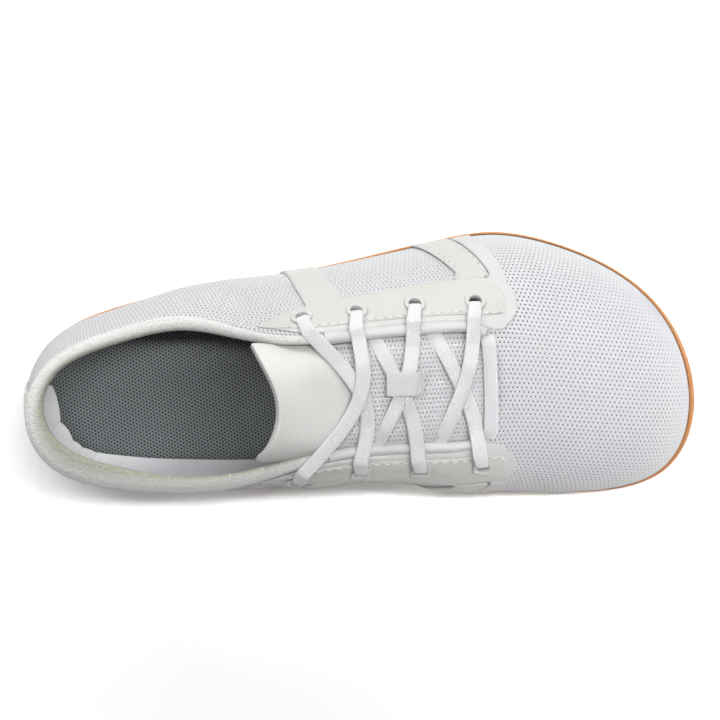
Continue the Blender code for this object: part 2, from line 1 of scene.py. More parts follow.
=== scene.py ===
"""Looks of a left low lace-up sneaker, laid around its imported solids.

Frame: +X to the toe, +Y to the outer (lateral) side, +Z up. Shapes are worked out in millimetres and put
into the meshes in metres.
"""

import json
import math

import bmesh
import bpy
import numpy as np
from bpy.props import FloatProperty, FloatVectorProperty, IntProperty, PointerProperty
from mathutils import Matrix, Vector
from mathutils.bvhtree import BVHTree

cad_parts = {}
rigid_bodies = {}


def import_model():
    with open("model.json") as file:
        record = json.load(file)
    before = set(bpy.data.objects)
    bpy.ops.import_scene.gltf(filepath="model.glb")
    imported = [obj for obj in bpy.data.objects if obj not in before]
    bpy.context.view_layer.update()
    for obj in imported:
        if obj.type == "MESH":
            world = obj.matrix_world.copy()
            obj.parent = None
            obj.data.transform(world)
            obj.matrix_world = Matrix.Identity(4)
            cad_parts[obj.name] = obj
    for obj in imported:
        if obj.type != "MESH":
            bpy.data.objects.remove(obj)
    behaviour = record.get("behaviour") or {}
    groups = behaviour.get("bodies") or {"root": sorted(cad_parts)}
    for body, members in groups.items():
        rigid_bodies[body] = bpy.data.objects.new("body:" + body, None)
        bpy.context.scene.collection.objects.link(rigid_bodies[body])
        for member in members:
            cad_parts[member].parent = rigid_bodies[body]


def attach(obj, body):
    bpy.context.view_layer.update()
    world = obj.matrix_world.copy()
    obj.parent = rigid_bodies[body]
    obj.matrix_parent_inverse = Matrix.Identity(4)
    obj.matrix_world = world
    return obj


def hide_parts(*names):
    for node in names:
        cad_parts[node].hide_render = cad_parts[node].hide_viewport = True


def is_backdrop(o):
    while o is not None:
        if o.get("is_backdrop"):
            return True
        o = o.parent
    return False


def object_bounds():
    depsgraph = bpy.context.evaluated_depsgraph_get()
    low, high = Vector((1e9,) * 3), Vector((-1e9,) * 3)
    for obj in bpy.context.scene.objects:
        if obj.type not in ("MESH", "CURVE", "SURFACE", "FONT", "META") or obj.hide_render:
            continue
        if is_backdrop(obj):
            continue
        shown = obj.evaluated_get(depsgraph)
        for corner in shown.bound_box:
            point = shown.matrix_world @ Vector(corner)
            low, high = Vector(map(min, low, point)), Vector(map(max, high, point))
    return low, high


bl_info = {
    "name": "Knit Sneaker",
    "version": (1, 0, 0),
    "blender": (4, 5, 0),
    "location": "3D View > Sidebar > Sneaker",
    "description": "Dresses the solids of a low lace-up sneaker in knit, leather, rubber and lace",
    "category": "Object",
}

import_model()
CAD_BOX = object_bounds()

MM = 0.001
UP = np.array((0.0, 0.0, 1.0))

# The last, as in the part: driving sizes, walls and gaps
LENGTH = 281.0
BALL_WIDTH = 110.0
INSTEP_HEIGHT = 78.0
HEEL_HEIGHT = 65.0
INSTEP_SHARE = 42.0
MIDDLE_ALONG = 49.8
MIDDLE_ACROSS = -0.36
GAP = 0.3
WALL = 1.6
OVERLAY = 0.9
WELD = 1e-6
SOLE_THICKNESS = 5.0
RIM_RISE = 0.07
RIM_GAP = 0.4
RIM_TRIM = 0.2
TOE_SPRING = 8.0
TOE_SPRING_START = 70.0
HEEL_LIFT = 1.2
HEEL_LIFT_END = -118.0
ARCH_RELIEF = 1.0
ARCH_CENTRE = -32.0
ARCH_HALF = 42.0
GROOVE_PITCH = 13.0
GROOVE_WIDTH = 2.2
GROOVE_DEPTH = 1.4
GROOVE_MARGIN = 8.0
GROOVE_FIRST = -120.0
GROOVE_LAST = 116.0
ARCH_CLEAR = 34.0
INSOLE_INSET = WALL + 0.9

# Rows of the wall, from the heel along the lateral side to the toe and back along the medial side.
# facing: degrees from +X in plan. foot: where the wall leaves the sole. top: where it ends, at collar
# or throat. x in per cent of the length from the heel, y in per cent of the ball width, top_z in per cent
# of the height line between heel and instep. swell and crown, in mm: how the wall leaves the sole and the
# top line. rim: width of the sole's rim in mm. roll: radius of the binding in mm.
LAST_COLUMNS = ("facing", "foot_x", "foot_y", "swell_out", "swell_up", "top_x", "top_y", "top_z",
                "crown_out", "crown_down", "rim", "roll")
LAST_ROWS = (
    # heel, middle of the back
    (180, 1.0, -11.9, 3.5, 16, 1.7, -11.9, 99, 5.5, 22, 1.2, 2.8),
    # lateral side: heel, ankle, collar, throat, ball, toe
    (130, 5.0, 8.2, 7, 16, 5.4, 7.5, 92, 5, 20, 1.2, 2.9),
    (104, 14.3, 18.9, 7, 16, 14.4, 17.7, 80.5, 5, 18, 1.2, 3.0),
    (99, 23.9, 24.6, 11.5, 16, 23.9, 22.5, 73.2, 8.5, 17, 1.0, 3.0),
    (98, 32.8, 28.9, 12.5, 17, 32.8, 19.7, 86.5, 10, 17, 0.9, 2.5),
    (96, 41.7, 32.4, 11.5, 18, 41.7, 19.3, 100, 12, 14, 0.9, 1.9),
    (93, 52.3, 39.0, 9, 17, 52.7, 20.6, 87.8, 13, 9, 0.9, 1.7),
    (86, 63.0, 45.9, 6, 16, 62.3, 21.5, 77.6, 13, 7, 0.9, 1.6),
    (62, 72.8, 47.3, 6, 17, 67.6, 19.0, 74.5, 16, 5.0, 0.9, 1.5),
    (35, 86.0, 36.2, 5.5, 18, 69.2, 8.5, 75.8, 32, 7.5, 0.9, 1.5),
    (12, 95.3, 15.1, 5.2, 20, 69.6, 2.0, 76.4, 44, 10, 1.3, 1.5),
    # toe tip
    (-8, 98.8, -14.4, 4.8, 22, 69.6, -3.5, 76.5, 50, 11, 2.0, 1.5),
    # medial side: toe, ball, throat, collar, ankle, heel
    (-24, 95.4, -39.7, 5.6, 21, 69.6, -9.5, 76.2, 44, 10, 1.4, 1.5),
    (-38, 85.6, -49.4, 6, 20, 69.0, -16.5, 75.4, 32, 7.5, 0.9, 1.5),
    (-58, 73.0, -49.5, 5.5, 19, 67.6, -24.5, 74.4, 18, 4.5, 0.8, 1.5),
    (-88, 63.0, -46.6, 5, 19, 62.3, -27.1, 77.6, 17, 4.5, 0.9, 1.6),
    (-91, 52.3, -42.5, 4.5, 20, 52.7, -26.6, 87.8, 16, 5, 0.9, 1.7),
    (-91, 41.7, -42.2, 5, 20, 42.4, -29.0, 100, 14, 9, 0.9, 1.9),
    (-91, 32.8, -42.5, 6.5, 18, 32.8, -37.5, 88.5, 9.5, 16, 0.9, 2.5),
    (-91, 23.9, -42.2, 7, 17, 23.9, -41.0, 81.5, 7, 18, 1.0, 3.0),
    (-100, 14.3, -41.3, 6, 16, 14.4, -39.4, 86.4, 7, 18, 1.2, 3.0),
    (-130, 5.0, -33.6, 5.5, 16, 5.4, -31.6, 93.7, 6.5, 20, 1.2, 2.9),
)
STATIONS = len(LAST_ROWS)
TOE_STATION = 11

# Side of the sole: reach beyond the rim's face in mm, share of the height
SOLE_SIDE = (
    # tread and lower side
    (-3.2, 0.0), (-2.4, 0.03), (-1.6, 0.12), (-0.9, 0.27), (-0.5, 0.45),
    # groove
    (-0.65, 0.485), (-1.1, 0.52), (-0.7, 0.56), (-0.35, 0.6),
    # rim
    (0.0, 0.9), (-0.1, 0.97), (-0.4, 1.0),
)
# Side of the insole from below: further inset and height, in mm
INSOLE_SIDE = ((0.4, 0.0), (0.0, 0.5), (0.0, 3.0), (0.25, 3.7), (0.8, 4.0))

# Insole: turn of its mesh across the shoe; rows and radius of the mesh's cells in pitches
INSOLE_TURN = np.array(((-0.087, 0.996), (0.996, 0.087)))
INSOLE_CELLS = (0.83, 0.27)

# Tongue from its sewn front to its free end: x per cent of length, y per cent of ball width, z per cent of
# the instep height, half width in mm, drop of its edges below its middle in mm
TONGUE_ROWS = (
    (73.0, -3.5, 68.5, 22, 3.5),
    (69.6, -3.5, 72.0, 25, 5.5),
    (63.0, -3.5, 79.5, 27, 8.5),
    (56.0, -3.6, 88.0, 27, 10.5),
    (49.0, -4.3, 97.5, 26.5, 12.0),
    (43.0, -6.0, 107.0, 24.6, 14.0),
    (38.0, -7.2, 117.0, 22.9, 16.0),
)
TONGUE_THICKNESS = 3.5
# Power with which its edges drop: the higher, the flatter its top
TONGUE_ROUND = 5.5
# How far the lateral and the medial corner of its free end reach back in mm, and the share this starts from
TONGUE_CORNERS = (3.5, 1.5)
TONGUE_CORNERS_FROM = 0.7
# How far its lateral corner spreads under the collar in mm, and the share this starts from
TONGUE_SPREAD = 3.2
TONGUE_SPREAD_FROM = 0.86
# Share of its thickness that it loses at its free end, and the share this starts from
TONGUE_THIN = 0.5
TONGUE_THIN_FROM = 0.9
# Smooth top: its front seam at the medial edge, middle and lateral edge, share of the half width, mm thick
TONGUE_SEAM = (0.79, 0.675, 0.83)
TONGUE_PANEL_HALF = 0.985
TONGUE_PANEL_LIFT = 0.6
# Hem of the free end: shares of the smooth top, thickness in mm
TONGUE_HEM = (0.92, 1.005)
TONGUE_HEM_LIFT = 0.85
# Place along the shoe behind which the tongue's body is smooth cloth, in mm
TONGUE_END = -16.0
# Its knit: stretch along the shoe, openness and strength of the ribs
TONGUE_STRETCH = 1.15
TONGUE_OPENNESS = (0.62, 0.2)

# Overlays, in stations along the wall and millimetres down from the top line
EYESTAY_ROWS = (
    (4.25, 1.5, 3.5),
    (4.55, 1.5, 9.5),
    (4.9, 1.5, 14.8),
    (5.4, 1.5, 17.2),
    (6.4, 1.5, 19.5),
    (7.4, 1.5, 22.0),
    (8.0, 2.8, 23.5),
    (8.35, 6.5, 20.0),
    (8.5, 10.0, 15.0),
)
# Front of the eyestay, where the white layer shows: stations it opens over, how far the leather is drawn
# up in mm and back in stations, how far the white layer swells in mm
EYESTAY_FRONT = (6.9, 8.4)
EYESTAY_DRAWN = (3.4, 0.24)
EYESTAY_SWELL = 1.6
# In mm: reach of the white layer to the throat, drop of the leather below it, least height of both. Shares
# of the length between which the white layer comes out from under the leather
EYESTAY_REACH = 1.3
EYESTAY_STEP = 2.6
EYESTAY_LEAST = 0.6
EYESTAY_TAIL = (0.08, 0.34)
# Share of the thickness at the tail, and the share of the length at which it is whole
EYESTAY_THIN = (0.4, 0.28)
# How deep the leather is pressed into the white layer, in mm
LAYER_SINK = 0.1
# White edge rolled over the throat: stations, degrees on the binding where it starts and how far round it
# goes, reach down the wall in mm, share of its width on the binding
ROLLED_STATIONS = (5.25, 8.1)
ROLLED_ANGLES = (-50.0, 190.0)
ROLLED_DOWN = 7.0
ROLLED_SHARE = 0.78
# Bands between eyestay and sole: stations at the sole and at the eyestay, width in stations at each end
BANDS = {
    "saddle": {"foot": 6.45, "foot_width": 0.85, "top": 7.25, "top_width": 0.85},
    "waist_band": {"foot": 4.55, "foot_width": 0.5, "top": 5.05, "top_width": 0.5},
}
BAND_RISE = 0.11
# How late a band leans to the toe on its way up
BAND_SLANT = {"saddle": 1.35, "waist_band": 1.0}
# Tuck of a band under the eyestay in mm, flare of its rear edge there in stations, share of height it takes
BAND_TUCK = 1.2
BAND_FLARE = {"saddle": 0.3, "waist_band": 0.0}
BAND_BEND = 0.14
# Share of its thickness that a band loses under the eyestay, and the shares of its height it is lost over
BAND_THIN = 0.75
BAND_THIN_RISES = (0.93, 0.99)
# Saddle's width: shares of the leather and of the white strip before it; height of the strip in mm
SADDLE_LEATHER = (0.0, 0.6)
SADDLE_FELT = (0.635, 1.0)
SADDLE_FELT_LIFT = 0.6
# Raised edge of the open window: width and thickness in mm, station of its start, share of the saddle's
# height at its end, lift in mm, share of the lift at its start and stations it rises in
WINDOW_EDGE = (1.2, 0.8)
WINDOW_START = 4.45
WINDOW_END = 0.03
WINDOW_LIFT = 0.95
WINDOW_LOW = 0.4
WINDOW_RISE = 1.0
# Heel strip: half its width in stations, the rises of its ends, its height over the wall in mm
HEEL_STRIP_HALF = 0.3
HEEL_STRIP_RISE = (0.11, 0.95)
HEEL_STRIP_LIFT = 0.4
# Height at which the underside of an overlay lies over the wall, in mm
SEAT = GAP * 0.3

# Eyelets: stations; in mm drop, radii of hole, flange and barrel; the flange's height, roundness, seat; depth
EYELET_STATIONS = {"lateral": (4.97, 5.68, 6.45, 7.5), "medial": (17.2, 16.3, 15.45, 14.35)}
EYELET_DROP = 9.2
EYELET_HOLE = 3.3
EYELET_FLANGE = (2.5, 4.4)
EYELET_BARREL = 3.0
EYELET_HEIGHT = 0.5
EYELET_ROUND = 0.7
EYELET_SINK = 0.1
EYELET_DEPTH = 4.2
# Points over a ring's crown, steps round it
EYELET_CROWN = 9
EYELET_STEPS = 36
DRILL_DEPTH = 14.0

# Lace: sections of a strand, and those over which it is held up and drawn smooth
LACE_COUNT = 61
LACE_HOLD = 8
LACE_FINE = 5
# Gap to what lies below and to its own crossings in mm, lean as a share of its width
LACE_GAP = 0.15
LACE_CROSS_GAP = 0.1
LACE_LEAN = 0.2
# Where a crossing goes under the eyestay: share of the way between eyelets, mm inside the throat, dip in mm
# and share of its length the dip starts from; distance from an eyelet's middle in mm
LACE_UNDER = 0.75
LACE_EDGE = 3.6
LACE_TUCK = 2.8
LACE_TUCK_FROM = 0.84
LACE_EYELET_CLEAR = 5.2
# How far each crossing hangs towards the toe in mm, from the front back
LACE_SWAY = {3: 4.0, 2: 4.5, 1: 13.0}
# Lace below and in an eyelet, in mm: distance from wall or leather, shift to the throat, pressed width
LACE_BELOW = (2.6, 0.3, 4.6)
LACE_WITHIN = (0.4, 0.9, 4.8)
# Bends of the lace to an eyelet, through it and out of it: stiffness at both ends in mm, sections
LACE_TO_EYELET = (10.0, 8.0, 14)
LACE_THROUGH = (3.0, 3.0, 3)
LACE_OUT = (4.5, 4.5, 9)
# Roundness of the edges and of the flat sides of lace, keeper and window edge
RIBBON_ROUND = (0.5, 0.7)
# Weave of the lace: pitch of the picks in mm; pitch in mm and relative height of the warps
LACE_PICK = 1.1
LACE_WARP = (0.8, 0.6)
# Front bar: mm behind the throat's front and inside its sides, stations to the sides, bow in mm
BAR_SETBACK = 4.2
BAR_MARGIN = 9.5
BAR_STATIONS = 4
BAR_BOW = 1.0
# Keeper: place in per cent of length and width, size in mm; its ribs: pitch in mm, height share, stretch
KEEPER_PLACE = (56.0, 0.5)
KEEPER_LENGTH = 15.0
KEEPER_WIDTH = 10.0
KEEPER_RIB = 0.85
KEEPER_RIB_HEIGHT = 0.14
KEEPER_RIBBED = (0.8, 1.6, 6.0, 7.5)

# Outward lean of the inner collar and its stations; padding at the inner heel: station, mm, half length in
# stations, share of it that also rises
COLLAR_SLANT = 0.8
COLLAR_SLANTED = (16.4, 17.6, 20.4, 22.0)
COLLAR_PAD = (21.0, 4.0, 2.2)
COLLAR_PAD_RISE = 0.8
# Stations of the throat, where the collar has no ribs
COLLAR_PLAIN = (5.0, 5.6, 16.4, 17.0)
# Cosines on the binding, outside to inside, between which the inner tint with its painted shade and the ribs
# come up
COLLAR_INNER = (-0.05, -0.75)
COLLAR_RIBBED = (0.3, -0.4)
COLUMNS_PER_RIB = 4
# Length round the binding on its chart, in mm
COLLAR_ROUND = 18.0
# Throat's front edge, bound in knit: stations, soft stretch before and within them, loss of thickness,
# openness and strength of the ribs
FRONT_STATIONS = (7.95, 14.05)
FRONT_SOFT = (0.4, 0.3)
FRONT_THIN = 0.5
FRONT_OPENNESS = (0.8, 0.25)

# Knit: stations of the open toe and of the sides, rises over which it opens
OPEN_TOE = (6.3, 8.6, 13.6, 15.8)
OPEN_SIDES = (3.6, 5.4, 16.6, 18.4)
OPEN_RISES = (0.1, 0.55)
# Openness at the foot of the toe, at the sides and at the heel; ribs at the toe and their gain elsewhere
OPENNESS = {"toe": 0.3, "sides": 0.62, "heel": 0.8}
RIB_STRENGTH = (0.25, 0.7)
# Chart of the toe's knit: where it starts to change, over what length, and by what share along and across
TOE_CHART = (58.0, 12.0, -0.14, 0.13)
# Stations over which the sole's rim is trimmed
RIM_TRIMMED = (2.5, 4.0, 8.8, 10.4)

# Soft troughs of the knit, on the flattened cloth: from x, y to x, y, depth and half width, all in mm
CREASES = (
    # behind the eyestay, lateral waist, across the ball, lateral ball, medial ankle, heel
    (-52.0, 44.0, -22.0, 62.0, 0.7, 7.0),
    (-70.0, 58.0, -52.0, 40.0, 0.5, 6.0),
    (66.0, -34.0, 74.0, -4.0, 0.45, 9.0),
    (70.0, 30.0, 62.0, 52.0, 0.5, 7.0),
    (-60.0, -62.0, -20.0, -72.0, 0.6, 7.0),
    (-120.0, 20.0, -84.0, 52.0, 0.4, 8.0),
)
# Rises over which they fade at the sole and at the top line
CREASE_RISES = (0.0, 0.2, 0.85, 1.0)

# Flaps of lining from the back of the heel inward: stations of the two ends, reach over the insole in mm
HEEL_FLAPS = ((0.14, -0.62, 2.6), (-0.54, -1.02, 2.2), (-0.96, -1.24, 1.2), (-1.18, -1.5, 1.0))
# Their rises, distance from the wall and from each other in mm, powers of their scallop and of their swell
FLAP_RISES = (0.62, 0.12)
FLAP_HANG = (0.3, 0.6)
FLAP_SCALLOP = 0.6
FLAP_SWELL = 1.6
# Flaps and lining: reach inward and outward of their middle layer, in mm
FLAP_BODY = (-0.5, 0.5)
LINING_BODY = (-0.5, 0.3)
# Padded foot of the lining: stations, rises, shares of its length over which it leaves the wall and returns
LINING_ENDS = (4.6, -5.6)
LINING_RISES = (0.5, 0.08)
LINING_OUT = (0.0, 0.2, 0.9, 1.0)
# How deep its ends are sunk into the wall and how far it comes out of it, in mm
LINING_SUNK = 0.5
LINING_CLEAR = 0.9
# How far it is padded in mm, at the heel and along the inner side, and the stations where that changes
LINING_PADS = (1.8, 3.6)
LINING_PAD_TURN = (-0.9, -2.0)
# Where along the shoe the painted light of the flaps, their whiter colour, fades into the lining, in mm
LINING_PAINTED_LIGHT_FADE = (-118.0, -72.0)

# Seams: run and lines as shares, height in mm, points; the eyestay's goes along its top and down its front
EYESTAY_SEAM = {"along": (0.16, 0.965), "down": (0.07, 0.93), "points": (120, 20)}
SADDLE_SEAM = {"run": (0.03, 0.86), "lines": (0.07, 0.54), "points": 40}
HEEL_SEAM = {"run": (0.02, 0.98), "lines": (0.1, 0.9), "points": 60, "lift": 0.3}
TONGUE_QUILT = {"run": (0.06, 0.94), "lines": (0.7, 0.82), "points": 60, "lift": 0.5}
# Step for a seam's heading in mm, length of a stitch in pitches and its sink in radii; needle hole, a bead of
# painted shade: half length, half width, half height and sink in mm
SEAM_STEP = 0.3
STITCH_SHARE = 0.74
STITCH_SINK = 0.3
NEEDLE_HOLE = (0.4, 0.3, 0.1, 0.02)

# Clouds of tone: number a metre, strength, shade of the colour in them; values of the noise they rise between
CLOUDS = {
    "knit": (38.0, 0.35, 0.95),
    "lining": (60.0, 0.5, 0.88),
    "leather": (55.0, 0.5, 0.94),
    "rib": (620.0, 0.6, 0.86),
    "insole": (30.0, 0.4, 0.8),
    "rubber": (45.0, 0.6, 0.86),
    "plastic": (400.0, 0.4, 0.93),
    "floor": (3.0, 0.1, 0.985),
}
CLOUD_EDGE = (0.3, 0.7)
# Grains a metre, and depth of the relief in mm
GRAINS = {"lining": 1400.0, "rib": 1100.0, "rubber": 700.0, "thread": 2600.0}
RELIEFS = {"knit": 0.28, "lining": 0.12, "leather": 0.07, "rib": 0.16, "lace": 0.14, "insole": 0.35,
           "rubber": 0.06}
# Coated cloths: colour, roughness, grains a metre; what the grain adds to the roughness, what is taken off
COATED = {
    "tongue cloth": ("tongue", 0.75, 1600.0),
    "pressed edge": ("edge", 0.6, 900.0),
    "white felt": ("felt", 0.7, 1500.0),
    "cream leather": ("leather", 0.5, 900.0),
    "elastic": ("felt", 0.8, 1800.0),
}
COATED_ROUGH = (0.08, 0.06)
# What grain or clouds add to the roughness, and where it starts
RUBBER_ROUGH = (0.1, 0.45)
PLASTIC_ROUGH = (0.1, 0.36)
# Shares of a pinhole's radius between which its edge darkens with painted shade
HOLE_EDGE = (1.5, 0.5)
# Knit: painted shade in the valleys between its ribs and between its rows of holes, height of its courses and
# depth of its holes
KNIT_SHADES = (0.86, 0.9)
KNIT_COURSE = 0.35
KNIT_HOLE = 2.0
# Collar knit: holes of painted shade, their pitch and radius in rib pitches, strength and shade
RIB_HOLES = (2.0, 0.3, 0.45, 0.5)
# Inner tint: olive of the inner rib knit, darkened with painted shade of the inside of the shoe
RIB_INSIDE_TINT_AND_SHADE = 0.9
# Painted shade in the valleys between the ribs: strength and shade
RIB_VALLEY_SHADE = (0.45, 0.72)
# Lace: strength and shade of the painted shade in the low parts of its weave; thread: the same for its grain
LACE_SHADE = (0.62, 0.8)
THREAD_SHADE = (0.3, 0.8)
# Roughness of the thread and of its needle holes
THREAD_ROUGH = 0.7
NEEDLE_ROUGH = 0.95

# Pads: columns and rows, and the shares of each that the rounded edges take
PADS = {
    "lining": ((90, 12), (0.01, 0.06)),
    "flap": ((20, 14), (0.06, 0.06)),
    "tongue": ((48, 36), (0.02, 0.05)),
    "tongue top": ((28, 40), (0.05, 0.02)),
    "tongue hem": ((10, 40), (0.36, 0.02)),
    "felt": ((72, 18), (0.008, 0.035)),
    "leather": ((72, 14), (0.008, 0.035)),
    "throat edge": ((60, 20), (0.01, 0.05)),
    "saddle": ((14, 48), (0.06, 0.03)),
    "saddle strip": ((12, 24), (0.06, 0.03)),
    "waist band": ((14, 26), (0.05, 0.02)),
    "heel strip": ((16, 40), (0.25, 0.02)),
}
# First line inside a pad's edge: share of the rounded width, and of the height
PAD_ROUND = (0.3, 0.71)
# Fineness: rows of the wall, columns a station and rows across sole and insole, rows round other pieces
WALL_ROWS = 40
RING_COLUMNS = 10
SOLE_ROWS = 10
INSOLE_ROWS = 12
BINDING_ROWS = 14
LACE_ROUND = 14
KEEPER_ROUND = 24
WINDOW_ROUND = 8
# Points on the edges of window and eyestay, top line and outline, keeper's sections for one of a strand
WINDOW_POINTS = (160, 90)
EYESTAY_POINTS = 300
TOP_LINE_POINTS = 1200
OUTLINE_POINTS = 120
KEEPER_FINE = 4

# Lights: place, size of the panel and aim in metres, spread of the beam in degrees
LIGHTS = {
    "top": ((0.25, 0.37, 1.46), (1.3, 0.1), (0.25, 0.0, 0.03), 180.0),
    "side": ((-0.1, 1.15, 0.5), (1.4, 0.5), (0.0, 0.0, 0.03), 180.0),
    "front": ((0.9, -0.35, 0.6), (0.1, 0.1), (0.1, -0.03, 0.03), 14.0),
    "heel": ((-0.95, 0.12, 0.65), (0.1, 0.1), (-0.14, -0.01, 0.03), 14.0),
}
FLOOR_HALF = 4.0
SENSOR_WIDTH = 36.0


def millimetres(name, description, default):
    """Length that a user may change, given in millimetres."""
    return FloatProperty(name=name, description=description, default=default * MM, min=0.0, unit="LENGTH",
                         precision=5)


def colour(name, description, default):
    """Colour that a user may change."""
    return FloatVectorProperty(name=name, description=description, default=(*default, 1.0), size=4,
                               subtype="COLOR", min=0.0, max=1.0)


def watts(name, description, default):
    """Power of a light that a user may change."""
    return FloatProperty(name=name, description=description, default=default, unit="POWER")


class SneakerSizes(bpy.types.PropertyGroup):
    """Sizes of the finish."""
    hole_pitch: millimetres("Hole pitch", "Distance between pinholes along a row of the knit", 1.78)
    hole_rows: millimetres("Hole rows", "Distance between rows of pinholes", 1.85)
    hole_radius: millimetres("Hole radius", "Radius of a pinhole", 0.34)
    insole_pitch: millimetres("Insole pitch", "Distance between the holes of the insole's mesh", 1.54)
    rib_pitch: millimetres("Rib pitch", "Distance between the ribs of the collar binding", 1.0)
    rib_height: millimetres("Rib height", "Height of the collar's ribs", 0.1)
    lace_width: millimetres("Lace width", "Width of the flat lace", 6.0)
    lace_thickness: millimetres("Lace thickness", "Thickness of the flat lace", 1.2)
    stitch_pitch: millimetres("Stitch pitch", "Distance from stitch to stitch", 4.0)
    stitch_radius: millimetres("Thread radius", "Half the thickness of the sewing thread", 0.34)
    base_layer: millimetres("Base layer", "Thickness of the white layer under the leather", 0.55)
    top_layer: millimetres("Top layer", "Thickness of the cream leather", 0.42)
    keeper_thickness: millimetres("Keeper thickness", "Thickness of the elastic lace keeper", 0.7)
    wall_columns: IntProperty(name="Wall columns", description="Columns of the knit for each row of the last",
                              default=9, min=3)


class SneakerColours(bpy.types.PropertyGroup):
    """Colours of the finish."""
    knit: colour("Knit", "Yarn of the upper", (0.49, 0.495, 0.508))
    # Pinhole: painted shade in the depth of a pinhole
    pinhole: colour("Pinhole", "Depth of a pinhole", (0.07, 0.07, 0.08))
    leather: colour("Leather", "Cream synthetic leather", (0.425, 0.425, 0.404))
    edge: colour("Pressed edge", "Heat-pressed edges of the overlays", (0.44, 0.447, 0.45))
    felt: colour("Felt", "White layer under the leather", (0.455, 0.455, 0.448))
    collar: colour("Collar", "Outside of the collar binding", (0.5, 0.505, 0.49))
    # Rib knit: olive of the inner edge, darkened with painted shade of the inside of the shoe
    rib: colour("Rib knit", "Inner edge of the collar binding", (0.27, 0.275, 0.21))
    tongue: colour("Tongue cloth", "Smooth top of the tongue", (0.49, 0.487, 0.475))
    lining: colour("Lining", "Cloth inside the upper", (0.56, 0.565, 0.585))
    # Heel flaps: the lining made whiter, painted light where light reaches the heel
    flap: colour("Heel flaps", "Loose lining at the heel", (0.85, 0.855, 0.875))
    lace: colour("Lace", "Woven lace", (0.6, 0.6, 0.612))
    eyelet: colour("Eyelet", "Moulded eyelet", (0.43, 0.43, 0.415))
    thread: colour("Thread", "Sewing thread", (0.56, 0.56, 0.545))
    # Needle hole: a dark bead of painted shade between stitches
    needle: colour("Needle hole", "Needle hole between stitches", (0.25, 0.25, 0.23))
    insole: colour("Insole", "Yarn of the insole", (0.155, 0.167, 0.172))
    # Painted shade in the open cells of the insole's mesh
    insole_hole_shade: colour("Insole hole", "Depth of the insole's mesh", (0.012, 0.013, 0.014))
    gum: colour("Gum rubber", "Sole", (0.42, 0.185, 0.065))
    floor: colour("Floor", "Pale floor", (0.97, 0.97, 0.97))


class SneakerStage(bpy.types.PropertyGroup):
    """Camera and light."""
    tilt: FloatProperty(name="Tilt", description="Lean of the camera from overhead to the outer side",
                        default=math.radians(9.0), subtype="ANGLE")
    distance: FloatProperty(name="Distance", description="Camera to the middle of the shoe", default=1.2,
                            unit="LENGTH")
    lens: FloatProperty(name="Lens", description="Focal length in millimetres", default=140.4)
    aim: FloatVectorProperty(name="Aim", description="Point on the floor that the camera looks at", size=2,
                             default=(-0.0008, -0.0009), subtype="XYZ", unit="LENGTH")
    top_power: watts("Top light", "Power of the large light overhead", 25.0)
    side_power: watts("Side light", "Power of the light on the outer side", 13.0)
    front_power: watts("Front light", "Power of the light before the toe", 0.055)
    heel_power: watts("Heel light", "Power of the light behind the heel", 0.025)
    fill: FloatProperty(name="Fill", description="Strength of the even light all round", default=0.1)


def unit(vectors):
    """Vectors brought to length 1."""
    return vectors / np.linalg.norm(vectors, axis=-1, keepdims=True)


def smooth_step(low, high, values):
    """Smooth rise from 0 at one value to 1 at another."""
    share = np.clip((values - low) / (high - low), 0.0, 1.0)
    return share * share * (3.0 - 2.0 * share)


def blend(ends, share):
    """Value so far on the way between two ends."""
    first, last = ends
    return first + (last - first) * share


def stretch(values, start, full, full_end, end):
    """Smooth stretch: 0 outside its ends, 1 where it is full."""
    return smooth_step(start, full, values) * smooth_step(end, full_end, values)


def run_lengths(points):
    """Length along a line of points up to each of them."""
    return np.concatenate(((0.0,), np.cumsum(np.linalg.norm(np.diff(points, axis=0), axis=1))))


def points_at(places, lengths, points):
    """Points of a line at other lengths along it."""
    return np.column_stack([np.interp(places, lengths, points[:, axis]) for axis in range(3)])


def along(share):
    """Place along the shoe for a share of its length."""
    return LENGTH * (share - MIDDLE_ALONG) / 100.0


def abreast(share):
    """Place across the shoe for a share of its ball width."""
    return BALL_WIDTH * (share - MIDDLE_ACROSS) / 100.0


def height_line(x):
    """Height that the top line is measured against, between heel and instep."""
    share = 100.0 * x / LENGTH + MIDDLE_ALONG
    return np.interp(share, (0.0, INSTEP_SHARE), (HEEL_HEIGHT, INSTEP_HEIGHT))


def toe_spring(x):
    """Height that the toe is turned up by."""
    return TOE_SPRING * np.maximum(0.0, (x - TOE_SPRING_START) / (LENGTH / 2 - TOE_SPRING_START)) ** 2


def ground(x):
    """Height of the tread above the floor."""
    heel = HEEL_LIFT * np.maximum(0.0, (HEEL_LIFT_END - x) / (HEEL_LIFT_END + LENGTH / 2)) ** 2
    reach = np.minimum(1.0, np.abs(x - ARCH_CENTRE) / ARCH_HALF)
    return toe_spring(x) + heel + ARCH_RELIEF * (1.0 - reach * reach) ** 2


def sole_floor(x):
    """Height of the sole's upper face, on which the upper and the insole stand."""
    return SOLE_THICKNESS + toe_spring(x)


def last_table():
    """Rows of the wall in millimetres, with the facing as a direction."""
    rows = []
    for values in LAST_ROWS:
        row = dict(zip(LAST_COLUMNS, values))
        turn = math.radians(row["facing"])
        top_x = along(row["top_x"])
        rows.append((
            math.cos(turn), math.sin(turn),
            along(row["foot_x"]), abreast(row["foot_y"]),
            row["swell_out"], row["swell_up"],
            top_x, abreast(row["top_y"]), height_line(top_x) * row["top_z"] / 100.0,
            row["crown_out"], row["crown_down"], row["rim"], row["roll"],
        ))
    return np.array(rows)


